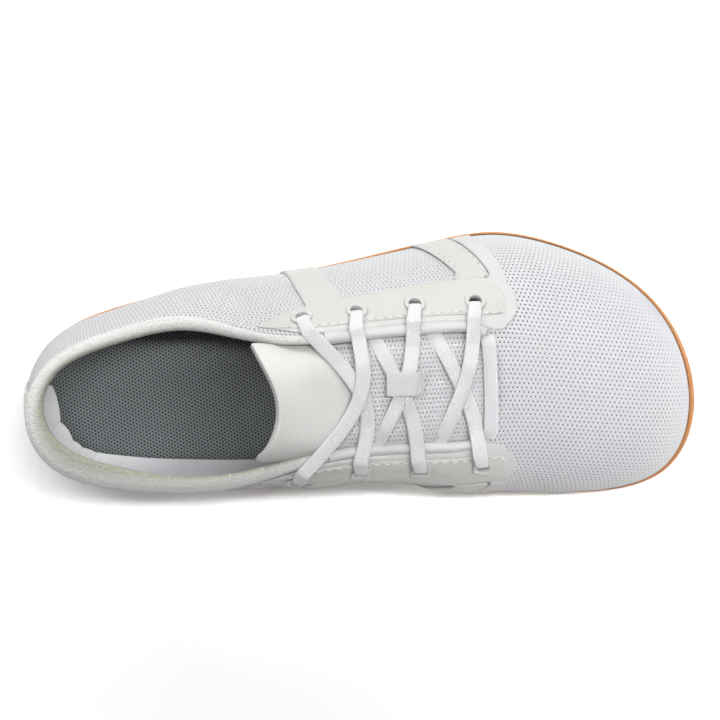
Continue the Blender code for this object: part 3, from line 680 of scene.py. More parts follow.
def closed_bends(values):
    """Second derivatives of the smooth closed curve through evenly numbered rows."""
    count = len(values)
    turn = np.roll(np.eye(count), 1, axis=1)
    steps = np.roll(values, -1, axis=0) - 2.0 * values + np.roll(values, 1, axis=0)
    return np.linalg.solve(4.0 * np.eye(count) + turn + turn.T, 6.0 * steps)


def open_bends(values):
    """Second derivatives of the smooth open curve through evenly numbered rows, straight at its ends."""
    count = len(values)
    matrix = np.eye(count)
    steps = np.zeros_like(values)
    for i in range(1, count - 1):
        matrix[i, i - 1:i + 2] = (1.0, 4.0, 1.0)
        steps[i] = values[i + 1] - 2.0 * values[i] + values[i - 1]
    return np.linalg.solve(matrix, 6.0 * steps)


def between(values, bends, low, high, share):
    """Points of a smooth curve between two of its rows."""
    rest = 1.0 - share
    bend = (rest ** 3 - rest) * bends[low] + (share ** 3 - share) * bends[high]
    return rest * values[low] + share * values[high] + bend / 6.0


def open_rows(values, bends, places):
    """Rows of a smooth open table at places counted in rows."""
    low = np.clip(np.floor(places).astype(int), 0, len(values) - 2)
    return between(values, bends, low, low + 1, (places - low)[:, None])


LAST = last_table()
# Its columns
FACING = slice(0, 2)
FOOT = slice(2, 4)
SWELL_OUT = slice(4, 5)
SWELL_UP = slice(5, 6)
TOP = slice(6, 9)
CROWN_OUT = slice(9, 10)
CROWN_DOWN = slice(10, 11)
RIM = 11
ROLL = 12
LAST_BENDS = closed_bends(LAST)
TONGUE = np.array([(along(x), abreast(y), INSTEP_HEIGHT * z / 100.0, half, drop)
                   for x, y, z, half, drop in TONGUE_ROWS])
TONGUE_BENDS = open_bends(TONGUE)
EYESTAY = np.array(EYESTAY_ROWS)
EYESTAY_BENDS = open_bends(EYESTAY)
EYESTAY_LINE = open_rows(EYESTAY, EYESTAY_BENDS, np.linspace(0.0, len(EYESTAY) - 1.0, EYESTAY_POINTS))


def last_rows(stations):
    """Rows of the wall at any stations, whole or part."""
    stations = np.asarray(stations, float)
    low = np.floor(stations).astype(int)
    return between(LAST, LAST_BENDS, low % STATIONS, (low + 1) % STATIONS, (stations - low)[:, None])


def facing(rows):
    """Direction in plan that the wall faces."""
    return unit(np.column_stack((rows[:, FACING], np.zeros(len(rows)))))


def wall(stations, rises):
    """Points of the upper's outer face: rise 0 at the sole, 1 at the top line, for each station or all."""
    rows = last_rows(stations)
    rise = np.broadcast_to(np.asarray(rises, float), len(rows))[:, None]
    rest = 1.0 - rise
    out = facing(rows)
    plan = rows[:, FOOT]
    foot = np.column_stack((plan, sole_floor(plan[:, 0]) + GAP))
    top = rows[:, TOP]
    low = foot + out * rows[:, SWELL_OUT] + UP * rows[:, SWELL_UP]
    high = top + out * rows[:, CROWN_OUT] - UP * rows[:, CROWN_DOWN]
    return rest ** 3 * foot + 3 * rest * rest * rise * low + 3 * rest * rise * rise * high + rise ** 3 * top


def wall_normal(stations, rises):
    """Outward directions of the upper's outer face."""
    step = 0.004
    up = wall(stations, np.minimum(1.0, rises + step)) - wall(stations, np.maximum(0.0, rises - step))
    on = wall(stations + step, rises) - wall(stations - step, rises)
    return unit(np.cross(up, on))


def cloth_lengths(stations, rises):
    """Length of the wall from the top line down to each point."""
    samples = 25
    steps = np.linspace(0.0, 1.0, samples)
    ladder = 1.0 - (1.0 - rises[:, None]) * steps[None, :]
    points = wall(np.repeat(stations, samples), ladder.ravel()).reshape(len(stations), samples, 3)
    return np.linalg.norm(np.diff(points, axis=1), axis=2).sum(axis=1)


def flat_cloth(stations, rises):
    """Places on the flattened cloth: the plan of the top line carried outward by the length of the wall."""
    rows = last_rows(stations)
    return rows[:, TOP][:, :2] + facing(rows)[:, :2] * cloth_lengths(stations, rises)[:, None]


def rise_at(stations, drops):
    """Rises of the points that lie a length of cloth below the top line."""
    samples = 41
    rises = np.linspace(1.0, 0.0, samples)
    points = wall(np.repeat(stations, len(rises)), np.tile(rises, len(stations)))
    steps = np.linalg.norm(np.diff(points.reshape(len(stations), len(rises), 3), axis=1), axis=2)
    lengths = np.column_stack((np.zeros(len(stations)), np.cumsum(steps, axis=1)))
    return np.array([np.interp(drop, line, rises) for drop, line in zip(drops, lengths)])


def creases(stations, rises):
    """Height of the soft troughs of the knit, nothing at the top line and at the sole."""
    spots = flat_cloth(stations, rises)
    height = np.zeros(len(spots))
    for x0, y0, x1, y1, depth, half_width in CREASES:
        start = np.array((x0, y0))
        run = np.array((x1, y1)) - start
        share = np.clip(((spots - start) @ run) / (run @ run), 0.0, 1.0)
        away = np.linalg.norm(spots - start - share[:, None] * run, axis=1)
        height -= depth * np.exp(-(away / half_width) ** 2)
    return height * stretch(rises, *CREASE_RISES)


def skin(stations, rises, lift):
    """Points at a height above the upper's outer face, creases and all."""
    lifts = (lift + creases(stations, rises))[:, None]
    return wall(stations, rises) + lifts * wall_normal(stations, rises)


def top_edge(stations):
    """Points of the top line, the way the wall rises to them and the directions it faces there."""
    step = 0.01
    top = wall(stations, 1.0)
    return top, unit(top - wall(stations, 1.0 - step)), wall_normal(stations, 1.0)


def foot_out(stations):
    """Outward directions in plan, square to the line where the wall meets the sole."""
    step = 0.02
    on = last_rows(stations + step)[:, FOOT] - last_rows(stations - step)[:, FOOT]
    return unit(np.column_stack((-on[:, 1], on[:, 0], np.zeros(len(on)))))


def tongue_points(shares, across):
    """Points of the tongue's upper face: share 0 at its front, across -1 medial to 1 lateral."""
    step = 0.01
    last = len(TONGUE) - 1
    rows = open_rows(TONGUE, TONGUE_BENDS, shares * last)
    before = open_rows(TONGUE, TONGUE_BENDS, np.maximum(0.0, shares - step) * last)
    after = open_rows(TONGUE, TONGUE_BENDS, np.minimum(1.0, shares + step) * last)
    normal = np.cross(unit(after[:, :3] - before[:, :3]), (0.0, 1.0, 0.0))
    normal *= np.sign(normal[:, 2:3])
    square = across * across
    bend = np.abs(across) ** TONGUE_ROUND
    corner = np.where(across > 0.0, TONGUE_CORNERS[0], TONGUE_CORNERS[1]) * square
    corner = corner + rows[:, 4] * normal[:, 0] * (square - bend)
    reach = rows[:, 0] - corner * smooth_step(TONGUE_CORNERS_FROM, 1.0, shares)
    spread = TONGUE_SPREAD * smooth_step(TONGUE_SPREAD_FROM, 1.0, shares) * np.maximum(across, 0.0) ** 2
    middle = np.column_stack((reach, rows[:, 1] + rows[:, 3] * across + spread, rows[:, 2]))
    return middle - normal * (rows[:, 4] * bend)[:, None]


def tongue_skin(shares, across, lift):
    """Points at a height above the tongue's upper face."""
    step = 0.01
    before = tongue_points(np.maximum(0.0, shares - step), across)
    on = tongue_points(np.minimum(1.0, shares + step), across) - before
    over = tongue_points(shares, across + step) - tongue_points(shares, across - step)
    normal = unit(np.cross(on, over))
    normal *= np.sign(normal[:, 2:3])
    return tongue_points(shares, across) + normal * np.broadcast_to(lift, shares.shape)[:, None]


def mirrored(stations):
    """Stations on the medial side that answer to those on the lateral side."""
    return STATIONS - stations


SIDES = (("lateral", lambda stations: stations), ("medial", mirrored))


def sheet(form, columns, rows, place, charts=None):
    """Grid laid into a form by a function of two shares. charts give its flat places for the materials."""
    corners = bmesh.ops.create_grid(form, x_segments=columns, y_segments=rows, size=0.5)["verts"]
    shares = np.array([corner.co[:2] for corner in corners]) + 0.5
    for corner, point in zip(corners, place(shares[:, 0], shares[:, 1]) * MM):
        corner.co = point
    for name, chart in (charts or {}).items():
        layer = form.loops.layers.uv.get(name) or form.loops.layers.uv.new(name)
        for corner, spot in zip(corners, chart(shares[:, 0], shares[:, 1])):
            for loop in corner.link_loops:
                loop[layer].uv = spot
    return corners


def weld(form):
    """Join the corners that meet and turn the faces outward."""
    bmesh.ops.remove_doubles(form, verts=form.verts, dist=WELD)
    bmesh.ops.recalc_face_normals(form, faces=form.faces)


def slab(form, pad, shape, low, high, material=0, charts=None, lined=None):
    """Closed pad of PADS with rounded edges: shape(u, v, lift) is the surface that it lies on.

    lined, if given, is the material of the rounded edges and the sides they are on, as in (2, "u0 u1 v1").
    """
    (columns, rows), edge = PADS[pad]
    first_line, first_height = PAD_ROUND
    faces_before = len(form.faces)

    def drawn(shares, count, share):
        inner = np.linspace(share, 1.0 - share, count - 3)
        lines = np.concatenate(((0.0, first_line * share), inner, (1.0 - first_line * share, 1.0)))
        return np.interp(shares, np.linspace(0.0, 1.0, count + 1), lines)

    def placed(u, v):
        return drawn(u, columns, edge[0]), drawn(v, rows, edge[1])

    def crest(u, v):
        rings = np.minimum.reduce((u * columns, (1 - u) * columns, v * rows, (1 - v) * rows))
        return low + (high - low) * np.interp(rings, (0.0, 1.0, 2.0), (0.0, first_height, 1.0))

    def upper(u, v):
        return shape(*placed(u, v), crest(u, v))

    def lower(u, v):
        return shape(*placed(u, v), np.full(len(u), low))

    drawn_charts = {
        name: (lambda u, v, chart=chart: chart(*placed(u, v))) for name, chart in (charts or {}).items()
    }
    corners = sheet(form, columns, rows, upper, drawn_charts)
    spots = [(number % (columns + 1), number // (columns + 1)) for number in range(len(corners))]
    rings = {"u0": lambda i, j: i, "u1": lambda i, j: columns - i,
             "v0": lambda i, j: j, "v1": lambda i, j: rows - j}
    edging = []
    if lined:
        sides = [rings[side] for side in lined[1].split()]
        near = {corner for corner, spot in zip(corners, spots) if min(side(*spot) for side in sides) <= 2}
        edging = [face for face in {face for corner in near for face in corner.link_faces}
                  if all(corner in near for corner in face.verts)]
    corners += sheet(form, columns, rows, lower, drawn_charts)
    form.faces.ensure_lookup_table()
    for face in form.faces[faces_before:]:
        face.material_index = material
    for face in edging:
        face.material_index = lined[0]
    bmesh.ops.remove_doubles(form, verts=corners, dist=WELD)
    form.faces.ensure_lookup_table()
    bmesh.ops.recalc_face_normals(form, faces=form.faces[faces_before:])


def as_mesh(name, form):
    """Mesh of a form, which is then done with."""
    mesh = bpy.data.meshes.new(name)
    form.to_mesh(mesh)
    form.free()
    return mesh


def add_piece(name, form, materials, slot, *nodes):
    """Finished piece on the shoe's body, smooth shaded, in the place of the nodes it stands for."""
    mesh = form if isinstance(form, bpy.types.Mesh) else as_mesh(name, form)
    mesh.polygons.foreach_set("use_smooth", [True] * len(mesh.polygons))
    for material in materials:
        mesh.materials.append(material)
    piece = bpy.data.objects.new(name, mesh)
    bpy.context.scene.collection.objects.link(piece)
    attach(piece, "root")
    if nodes:
        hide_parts(*nodes)
    return piece


def facing_matrix(centre, normal):
    """Place of something that stands on a point and faces a direction."""
    turn = Vector(normal).to_track_quat("Z", "X").to_matrix().to_4x4()
    return Matrix.Translation(Vector(centre) * MM) @ turn


def eyelet_frame(station):
    """Middle of an eyelet on the wall, the direction it faces and the way up the wall to the throat."""
    step = 0.02
    stations = np.array((station,))
    rise = rise_at(stations, (EYELET_DROP,))
    centre = wall(stations, rise)[0]
    towards = unit(wall(stations, rise + step)[0] - centre)
    return centre, wall_normal(stations, rise)[0], towards


def worked_out(piece):
    """Put the result of a piece's modifiers into its mesh."""
    graph = bpy.context.evaluated_depsgraph_get()
    mesh = bpy.data.meshes.new_from_object(piece.evaluated_get(graph), preserve_all_data_layers=True,
                                           depsgraph=graph)
    old = piece.data
    piece.modifiers.clear()
    piece.data = mesh
    bpy.data.meshes.remove(old)
    mesh.name = piece.name


def cut(piece, form):
    """Cut a form out of a piece."""
    mesh = as_mesh("cutter", form)
    cutter = bpy.data.objects.new("cutter", mesh)
    bpy.context.scene.collection.objects.link(cutter)
    step = piece.modifiers.new("cut", "BOOLEAN")
    step.operation = "DIFFERENCE"
    step.solver = "EXACT"
    step.object = cutter
    worked_out(piece)
    bpy.data.objects.remove(cutter)
    bpy.data.meshes.remove(mesh)


def drill_eyelets(piece, sides):
    """Cut the eyelet holes of the given sides through a piece."""
    form = bmesh.new()
    for side in sides:
        for station in EYELET_STATIONS[side]:
            centre, normal, _ = eyelet_frame(station)
            bmesh.ops.create_cone(form, cap_ends=True, segments=24, radius1=EYELET_HOLE * MM,
                                  radius2=EYELET_HOLE * MM, depth=DRILL_DEPTH * MM,
                                  matrix=facing_matrix(centre, normal))
    cut(piece, form)


class Net:
    """Nodes and links of one tree."""

    def __init__(self, tree):
        self.tree = tree

    def node(self, kind, values=None, **settings):
        node = self.tree.nodes.new(kind)
        for key, value in settings.items():
            setattr(node, key, value)
        for key, value in (values or {}).items():
            self.feed(node.inputs[key], value)
        return node

    def feed(self, socket, value):
        """Link a socket to another, or set its value."""
        if isinstance(value, bpy.types.NodeSocket):
            self.tree.links.new(value, socket)
        else:
            socket.default_value = value

    def math(self, operation, first, second=0.0, third=0.0):
        return self.node("ShaderNodeMath", {0: first, 1: second, 2: third}, operation=operation).outputs[0]

    def mix(self, share, first, second):
        return self.node("ShaderNodeMix", {0: share, 6: first, 7: second}, data_type="RGBA").outputs[2]

    def tint(self, mask, strength, first, second):
        """Colour that a mask of some strength leads from one to another."""
        return self.mix(self.math("MULTIPLY", mask, strength), first, second)

    def ramp(self, value, low, high):
        """Smooth step from 0 to 1 between two values."""
        node = self.node("ShaderNodeMapRange", {0: value, 1: low, 2: high, 3: 0.0, 4: 1.0},
                         interpolation_type="SMOOTHSTEP")
        return node.outputs[0]

    def split(self, vector):
        return self.node("ShaderNodeSeparateXYZ", {0: vector}).outputs

    def group(self, tree, **values):
        """Result of a node group."""
        return self.node("ShaderNodeGroup", values, node_tree=tree).outputs[0]


def node_group(name, inputs, output, build):
    """Shader node group of that name with one value as its result, built at its first use."""
    tree = bpy.data.node_groups.get(name)
    if tree is None:
        tree = bpy.data.node_groups.new(name, "ShaderNodeTree")
        for label, kind in inputs.items():
            tree.interface.new_socket(label, in_out="INPUT", socket_type=f"NodeSocket{kind}")
        tree.interface.new_socket(output, in_out="OUTPUT", socket_type="NodeSocketFloat")
        net = Net(tree)
        build(net, net.node("NodeGroupInput").outputs, net.node("NodeGroupOutput").inputs)
    return tree


def pinholes():
    """Staggered rows of round holes on a flat chart in millimetres."""
    def build(net, given, result):
        place = net.split(given["Chart"])
        row = net.math("DIVIDE", place[1], given["Rows"])
        odd = net.math("MULTIPLY", net.math("FLOORED_MODULO", net.math("FLOOR", row), 2.0), 0.5)
        column = net.math("ADD", net.math("DIVIDE", place[0], given["Pitch"]), odd)
        dx = net.math("MULTIPLY", net.math("SUBTRACT", net.math("FRACT", column), 0.5), given["Pitch"])
        dy = net.math("MULTIPLY", net.math("SUBTRACT", net.math("FRACT", row), 0.5), given["Rows"])
        away = net.math("SQRT", net.math("ADD", net.math("MULTIPLY", dx, dx), net.math("MULTIPLY", dy, dy)))
        edge = [net.math("MULTIPLY", given["Radius"], share) for share in HOLE_EDGE]
        net.feed(result["Hole"], net.ramp(away, *edge))

    sockets = {"Chart": "Vector", "Pitch": "Float", "Rows": "Float", "Radius": "Float"}
    return node_group("pinholes", sockets, "Hole", build)


def ridges():
    """Even ridges along one measure: 0 in the valleys, 1 on the crests."""
    def build(net, given, result):
        turns = net.math("MULTIPLY", net.math("DIVIDE", given["Place"], given["Pitch"]), 2.0 * math.pi)
        net.feed(result["Ridge"], net.math("MULTIPLY_ADD", net.math("COSINE", turns), 0.5, 0.5))

    return node_group("ridges", {"Place": "Float", "Pitch": "Float"}, "Ridge", build)


def grain():
    """Fine pebbled grain of a coated cloth."""
    def build(net, given, result):
        cells = net.node("ShaderNodeTexVoronoi", {"Vector": given["Place"], "Scale": given["Scale"]},
                         feature="SMOOTH_F1")
        fibres = net.node("ShaderNodeTexNoise", {"Vector": given["Place"], "Scale": given["Scale"],
                                                 "Detail": 3.0})
        net.feed(result["Height"], net.math("ADD", cells.outputs["Distance"], fibres.outputs["Fac"]))

    return node_group("grain", {"Place": "Vector", "Scale": "Float"}, "Height", build)


def clouds():
    """Large soft unevenness of tone."""
    def build(net, given, result):
        noise = net.node("ShaderNodeTexNoise", {"Vector": given["Place"], "Scale": given["Scale"],
                                                "Detail": 2.0})
        net.feed(result["Tone"], net.ramp(noise.outputs["Fac"], *CLOUD_EDGE))

    return node_group("clouds", {"Place": "Vector", "Scale": "Float"}, "Tone", build)


def shaded(value, share):
    """Colour made darker by a share, with its tint."""
    return (*(channel * share for channel in value[:3]), 1.0)


class Look(Net):
    """Material with a Principled shader whose even values are set on its own sockets."""

    def __init__(self, name, constants):
        self.material = bpy.data.materials.new(name)
        self.material.use_nodes = True
        super().__init__(self.material.node_tree)
        self.inputs = self.tree.nodes["Principled BSDF"].inputs
        for key, value in constants.items():
            self.inputs[key].default_value = value

    def place(self):
        """Place on the piece, in metres."""
        return self.node("ShaderNodeTexCoord").outputs["Object"]

    def chart(self, name):
        """Place on one of the piece's flat charts."""
        return self.node("ShaderNodeUVMap", uv_map=name).outputs[0]

    def cloudy(self, kind):
        """Clouds of a kind."""
        return self.group(clouds(), Place=self.place(), Scale=CLOUDS[kind][0])

    def clouded(self, kind, base, plain=None):
        """Colour with clouds of a kind. plain is the even colour to shade, if the base varies already."""
        _, strength, shade = CLOUDS[kind]
        return self.tint(self.cloudy(kind), strength, base, shaded(plain or base, shade))

    def grained(self, scale):
        """Height of a fine grain."""
        return self.group(grain(), Place=self.place(), Scale=scale)

    def ridged(self, place, pitch):
        """Height of even ridges along a measure."""
        return self.group(ridges(), Place=place, Pitch=pitch)

    def holed(self, pitch, rows, radius):
        """Mask of staggered holes on the chart of the cloth."""
        return self.group(pinholes(), Chart=self.chart("cloth"), Pitch=pitch, Rows=rows, Radius=radius)

    def paint(self, value):
        """Lead a colour to the shader."""
        self.feed(self.inputs["Base Color"], value)

    def roughen(self, height, more, base):
        """Make the shader rougher where a height is great."""
        self.feed(self.inputs["Roughness"], self.math("MULTIPLY_ADD", height, more, base))

    def bump(self, kind, height):
        """Lead a height to the shader's normal, as deep as the relief of a kind."""
        values = {"Height": height, "Distance": RELIEFS[kind] * MM, "Strength": 1.0}
        self.feed(self.inputs["Normal"], self.node("ShaderNodeBump", values).outputs["Normal"])


def knit_material(name, sizes, colours):
    """White knit: staggered pinholes of painted shade where the cloth is open; ribs with painted valley shade
    where closed.
    """
    look = Look(name, {"Roughness": 0.9, "Sheen Weight": 0.15})
    pitch = sizes.hole_pitch / MM
    rows = sizes.hole_rows / MM
    spot = look.split(look.chart("cloth"))
    strength = look.split(look.chart("strength"))
    # Mask of the pinholes: their painted shade in the colour, their depth in the relief
    deep = look.math("MULTIPLY", look.holed(pitch, rows, sizes.hole_radius / MM), strength[0])
    wale = look.ridged(spot[0], pitch)
    course = look.ridged(spot[1], rows / 2.0)
    # Painted shade in the valleys between the ribs and between the rows of holes
    painted_valley_shade, painted_row_shade = (shaded(colours.knit, shade) for shade in KNIT_SHADES)
    yarn = look.tint(look.math("SUBTRACT", 1.0, wale), strength[1], colours.knit, painted_valley_shade)
    yarn = look.tint(look.ridged(spot[1], rows), strength[0], yarn, painted_row_shade)
    yarn = look.clouded("knit", yarn, colours.knit)
    # The pinholes painted with the dark of their shade
    look.paint(look.mix(deep, yarn, colours.pinhole))
    raised = look.math("MULTIPLY_ADD", wale, strength[1], look.math("MULTIPLY", course, KNIT_COURSE))
    look.bump("knit", look.math("SUBTRACT", raised, look.math("MULTIPLY", deep, KNIT_HOLE)))


def lining_material(name, colours):
    """Brushed lining cloth, with painted light at the heel: whiter there than along the foot."""
    look = Look(name, {"Roughness": 0.95, "Sheen Weight": 0.2})
    first, last = LINING_PAINTED_LIGHT_FADE
    fade = look.ramp(look.split(look.place())[0], first * MM, last * MM)
    _, strength, shade = CLOUDS["lining"]
    # Painted light: the whiter colour of the flaps at the heel fades into the grey lining
    light = look.mix(fade, colours.flap, colours.lining)
    dark = look.mix(fade, shaded(colours.flap, shade), shaded(colours.lining, shade))
    look.paint(look.tint(look.cloudy("lining"), strength, light, dark))
    look.bump("lining", look.grained(GRAINS["lining"]))


def leather_material(name, colours):
    """Coated cloth with a fine pebbled grain and a soft gloss."""
    tint, roughness, scale = COATED[name]
    look = Look(name, {"Specular IOR Level": 0.4, "Coat Weight": 0.06, "Coat Roughness": 0.45})
    height = look.grained(scale)
    more, less = COATED_ROUGH
    look.paint(look.clouded("leather", getattr(colours, tint)))
    look.roughen(height, more, roughness - less)
    look.bump("leather", height)


def rib_material(name, colours, pitch):
    """Collar knit: mottled outside, finely ribbed; painted shade in holes and rib valleys; olive inside with
    painted shade.
    """
    look = Look(name, {"Roughness": 0.92, "Sheen Weight": 0.2})
    spot = look.split(look.chart("cloth"))
    strength = look.split(look.chart("strength"))
    painted_valley_shade = look.math("MULTIPLY", look.math("SUBTRACT", 1.0, look.ridged(spot[0], pitch)), strength[0])
    # Holes on the outside, painted with their shade
    cells, radius, open_share, hole_painted_shade = RIB_HOLES
    hole = look.holed(pitch * cells, pitch * cells, pitch * radius)
    hole = look.math("MULTIPLY", hole, look.math("MULTIPLY_ADD", strength[0], -open_share, open_share))
    base = look.clouded("rib", colours.collar)
    base = look.mix(hole, base, shaded(colours.collar, hole_painted_shade))
    # Inside: olive tint of the rib knit, darkened with painted shade
    base = look.tint(strength[1], RIB_INSIDE_TINT_AND_SHADE, base, colours.rib)
    # Painted shade in the valleys between the ribs
    valley_share, valley_shade = RIB_VALLEY_SHADE
    look.paint(look.tint(painted_valley_shade, valley_share, base, shaded(colours.rib, valley_shade)))
    look.bump("rib", look.math("ADD", look.grained(GRAINS["rib"]), look.cloudy("rib")))


def lace_material(name, colours):
    """Flat woven lace: fine slanting picks that meet along the middle."""
    look = Look(name, {"Roughness": 0.8, "Sheen Weight": 0.15})
    spot = look.split(look.chart("cloth"))
    slant = look.math("ADD", spot[1], look.math("ABSOLUTE", spot[0]))
    warp_pitch, warp_height = LACE_WARP
    warp = look.math("MULTIPLY", look.ridged(spot[0], warp_pitch), warp_height)
    height = look.math("ADD", look.ridged(slant, LACE_PICK), warp)
    # Painted shade: the lace darker where its weave is low
    strength, shade = LACE_SHADE
    look.paint(look.tint(height, strength, shaded(colours.lace, shade), colours.lace))
    look.bump("lace", height)


def insole_material(name, sizes, colours):
    """Dark spacer mesh with staggered open cells, painted dark with their shade."""
    look = Look(name, {"Roughness": 0.75, "Sheen Weight": 0.1})
    pitch = sizes.insole_pitch / MM
    rows, radius = INSOLE_CELLS
    hole = look.holed(pitch, pitch * rows, pitch * radius)
    # Open cells painted with their shade
    look.paint(look.mix(hole, look.clouded("insole", colours.insole), colours.insole_hole_shade))
    look.bump("insole", look.math("SUBTRACT", 1.0, hole))


def rubber_material(name, colours):
    """Gum rubber, matt, a little dusty on its heights."""
    look = Look(name, {"Specular IOR Level": 0.45})
    height = look.grained(GRAINS["rubber"])
    look.paint(look.clouded("rubber", colours.gum))
    look.roughen(height, *RUBBER_ROUGH)
    look.bump("rubber", height)


def moulded_material(name, colours):
    """Smooth moulded plastic of the eyelets."""
    look = Look(name, {"Specular IOR Level": 0.45})
    look.paint(look.clouded("plastic", colours.eyelet))
    look.roughen(look.cloudy("plastic"), *PLASTIC_ROUGH)


def thread_material(name, base, roughness):
    """Twisted thread, or the painted shade of a needle hole."""
    look = Look(name, {"Roughness": roughness})
    strength, shade = THREAD_SHADE
    look.paint(look.tint(look.grained(GRAINS["thread"]), strength, base, shaded(base, shade)))


def kept_material(make, name, *values):
    """Material of that name, made at its first use."""
    if name not in bpy.data.materials:
        make(name, *values)
    return bpy.data.materials[name]


def openness(stations, rises):
    """How open the knit is, and how strong its ribs: open over the toe, closed at heel and sides."""
    turns = stations % STATIONS
    toe = stretch(turns, *OPEN_TOE)
    side = stretch(turns, *OPEN_SIDES)
    low = smooth_step(*OPEN_RISES, rises)
    elsewhere = low * (side * OPENNESS["sides"] + (1.0 - side) * OPENNESS["heel"])
    hole = toe * blend((OPENNESS["toe"], 1.0), low) + (1.0 - toe) * elsewhere
    at_toe, gained = RIB_STRENGTH
    rib = (1.0 - toe) * gained + at_toe
    return np.column_stack((np.clip(hole, 0.0, 1.0), rib))


def knit_chart(stations, rises):
    """Chart of the knit, whose rows widen and slant a little over the toe."""
    spots = flat_cloth(stations, rises)
    beyond = np.maximum(spots[:, 0] - TOE_CHART[0], 0.0)
    beyond *= beyond / (beyond + TOE_CHART[1])
    return spots + beyond[:, None] * np.array(TOE_CHART[2:])


def make_upper(sizes, colours):
    """Knitted wall with its lining on the inside."""
    form = bmesh.new()

    def station(u):
        return (1.0 - u) * STATIONS

    sheet(form, sizes.wall_columns * STATIONS, WALL_ROWS, lambda u, v: skin(station(u), v, 0.0),
          {"cloth": lambda u, v: knit_chart(station(u), v), "strength": lambda u, v: openness(station(u), v)})
    bmesh.ops.remove_doubles(form, verts=form.verts, dist=WELD)
    materials = (kept_material(knit_material, "white knit", sizes, colours),
                 kept_material(lining_material, "grey lining", colours))
    upper = add_piece("upper_knit", form, materials, "knit", "upper")
    solid = upper.modifiers.new("thickness", "SOLIDIFY")
    solid.thickness = WALL * MM
    solid.offset = -1.0
    solid.use_even_offset = True
    solid.material_offset = 1
    drill_eyelets(upper, ("lateral", "medial"))


def lining_pad(stations):
    """How far the lining is padded out."""
    return blend(LINING_PADS, smooth_step(*LINING_PAD_TURN, stations))


def make_heel_lining(sizes, colours):
    """Padded foot of the lining, with loose scalloped flaps over the heel end of the insole."""
    form = bmesh.new()

    def inside(stations, rises, inset):
        return wall(stations, rises) - wall_normal(stations, rises) * inset[:, None]

    def foot(u, v, lift):
        stations = blend(LINING_ENDS, u)
        reach = (LINING_CLEAR + lining_pad(stations) * v * v) * stretch(u, *LINING_OUT)
        return inside(stations, blend(LINING_RISES, v), WALL - LINING_SUNK + reach - lift)

    slab(form, "lining", foot, *LINING_BODY)
    hang, apart = FLAP_HANG
    for number, (*ends, reach) in enumerate(HEEL_FLAPS):
        def flap(u, v, lift):
            stations = blend(ends, u)
            bulge = (lining_pad(stations) + reach * np.sin(np.pi * u) ** FLAP_SCALLOP) * v ** FLAP_SWELL
            inset = WALL + hang + apart * (len(HEEL_FLAPS) - number) + bulge
            return inside(stations, blend(FLAP_RISES, v), inset - lift)

        slab(form, "flap", flap, *FLAP_BODY)
    lining = add_piece("heel_lining", form, (kept_material(lining_material, "grey lining", colours),), "knit")


def rings_solid(rings, columns, across_rows, lower, upper, chart=None):
    """Closed solid from rings round the shoe, with faces across its lowest and highest ring.

    chart, if given, turns the plan into the flat chart of its cloth.
    """
    form = bmesh.new()
    last_ring = len(rings) - 1

    def side(u, v):
        points = np.zeros((len(u), 3))
        levels = np.round(v * last_ring).astype(int)
        for level, ring in enumerate(rings):
            chosen = levels == level
            points[chosen] = ring(u[chosen] * STATIONS)
        return points

    def across(ring, height):
        def place(u, v):
            lateral = ring(u * TOE_STATION)
            medial = ring(STATIONS - u * TOE_STATION)
            points = lateral * (1.0 - v[:, None]) + medial * v[:, None]
            points[:, 2] = height(points[:, 0])
            return points

        charts = {"cloth": lambda u, v: place(u, v)[:, :2] @ chart} if chart is not None else None
        sheet(form, columns // 2, across_rows, place, charts)

    charts = {"cloth": lambda u, v: side(u, v)[:, :2] @ chart} if chart is not None else None
    sheet(form, columns, last_ring, side, charts)
    across(rings[0], lower)
    across(rings[-1], upper)
    weld(form)
    return form


def side_y(x, lateral):
    """Half outline of the sole: y of the wall's foot at a place along the shoe."""
    stations = np.linspace(0.0, TOE_STATION, OUTLINE_POINTS)
    feet = last_rows(stations if lateral else STATIONS - stations)[:, FOOT]
    return float(np.interp(x, feet[:, 0], feet[:, 1]))


def make_sole(sizes, colours):
    """Moulded gum sole: grooved tread, ribbed side, low rim round the foot of the wall."""
    def inner_rim(stations):
        return wall(stations, RIM_RISE) + foot_out(stations) * RIM_GAP

    def side_ring(reach, share):
        def ring(stations):
            rim = inner_rim(stations)
            trim = RIM_TRIM * stretch(stations, *RIM_TRIMMED)
            points = rim + foot_out(stations) * (last_rows(stations)[:, RIM] - trim + reach)[:, None]
            low = ground(points[:, 0])
            points[:, 2] = low + (rim[:, 2] - low) * share
            return points
        return ring

    def floor_ring(stations):
        points = wall(stations, 0.0) + foot_out(stations) * RIM_GAP
        points[:, 2] = sole_floor(points[:, 0])
        return points

    rings = [side_ring(reach, share) for reach, share in SOLE_SIDE] + [inner_rim, floor_ring]
    form = rings_solid(rings, RING_COLUMNS * STATIONS, SOLE_ROWS, ground, sole_floor)
    rubber = kept_material(rubber_material, "gum rubber", colours)
    sole = add_piece("gum_sole", form, (rubber,), "gum_rubber", "outsole")
    grooves = bmesh.new()
    for x in np.arange(GROOVE_FIRST, GROOVE_LAST, GROOVE_PITCH):
        if abs(x - ARCH_CENTRE) < ARCH_CLEAR:
            continue
        lateral = side_y(x, True) - GROOVE_MARGIN
        medial = side_y(x, False) + GROOVE_MARGIN
        size = Matrix.Diagonal((GROOVE_WIDTH, lateral - medial, 2.0 * GROOVE_DEPTH, 1.0))
        place = Matrix.Translation((x, (lateral + medial) / 2.0, float(ground(x))))
        bmesh.ops.create_cube(grooves, size=1.0, matrix=Matrix.Scale(MM, 4) @ place @ size)
    cut(sole, grooves)


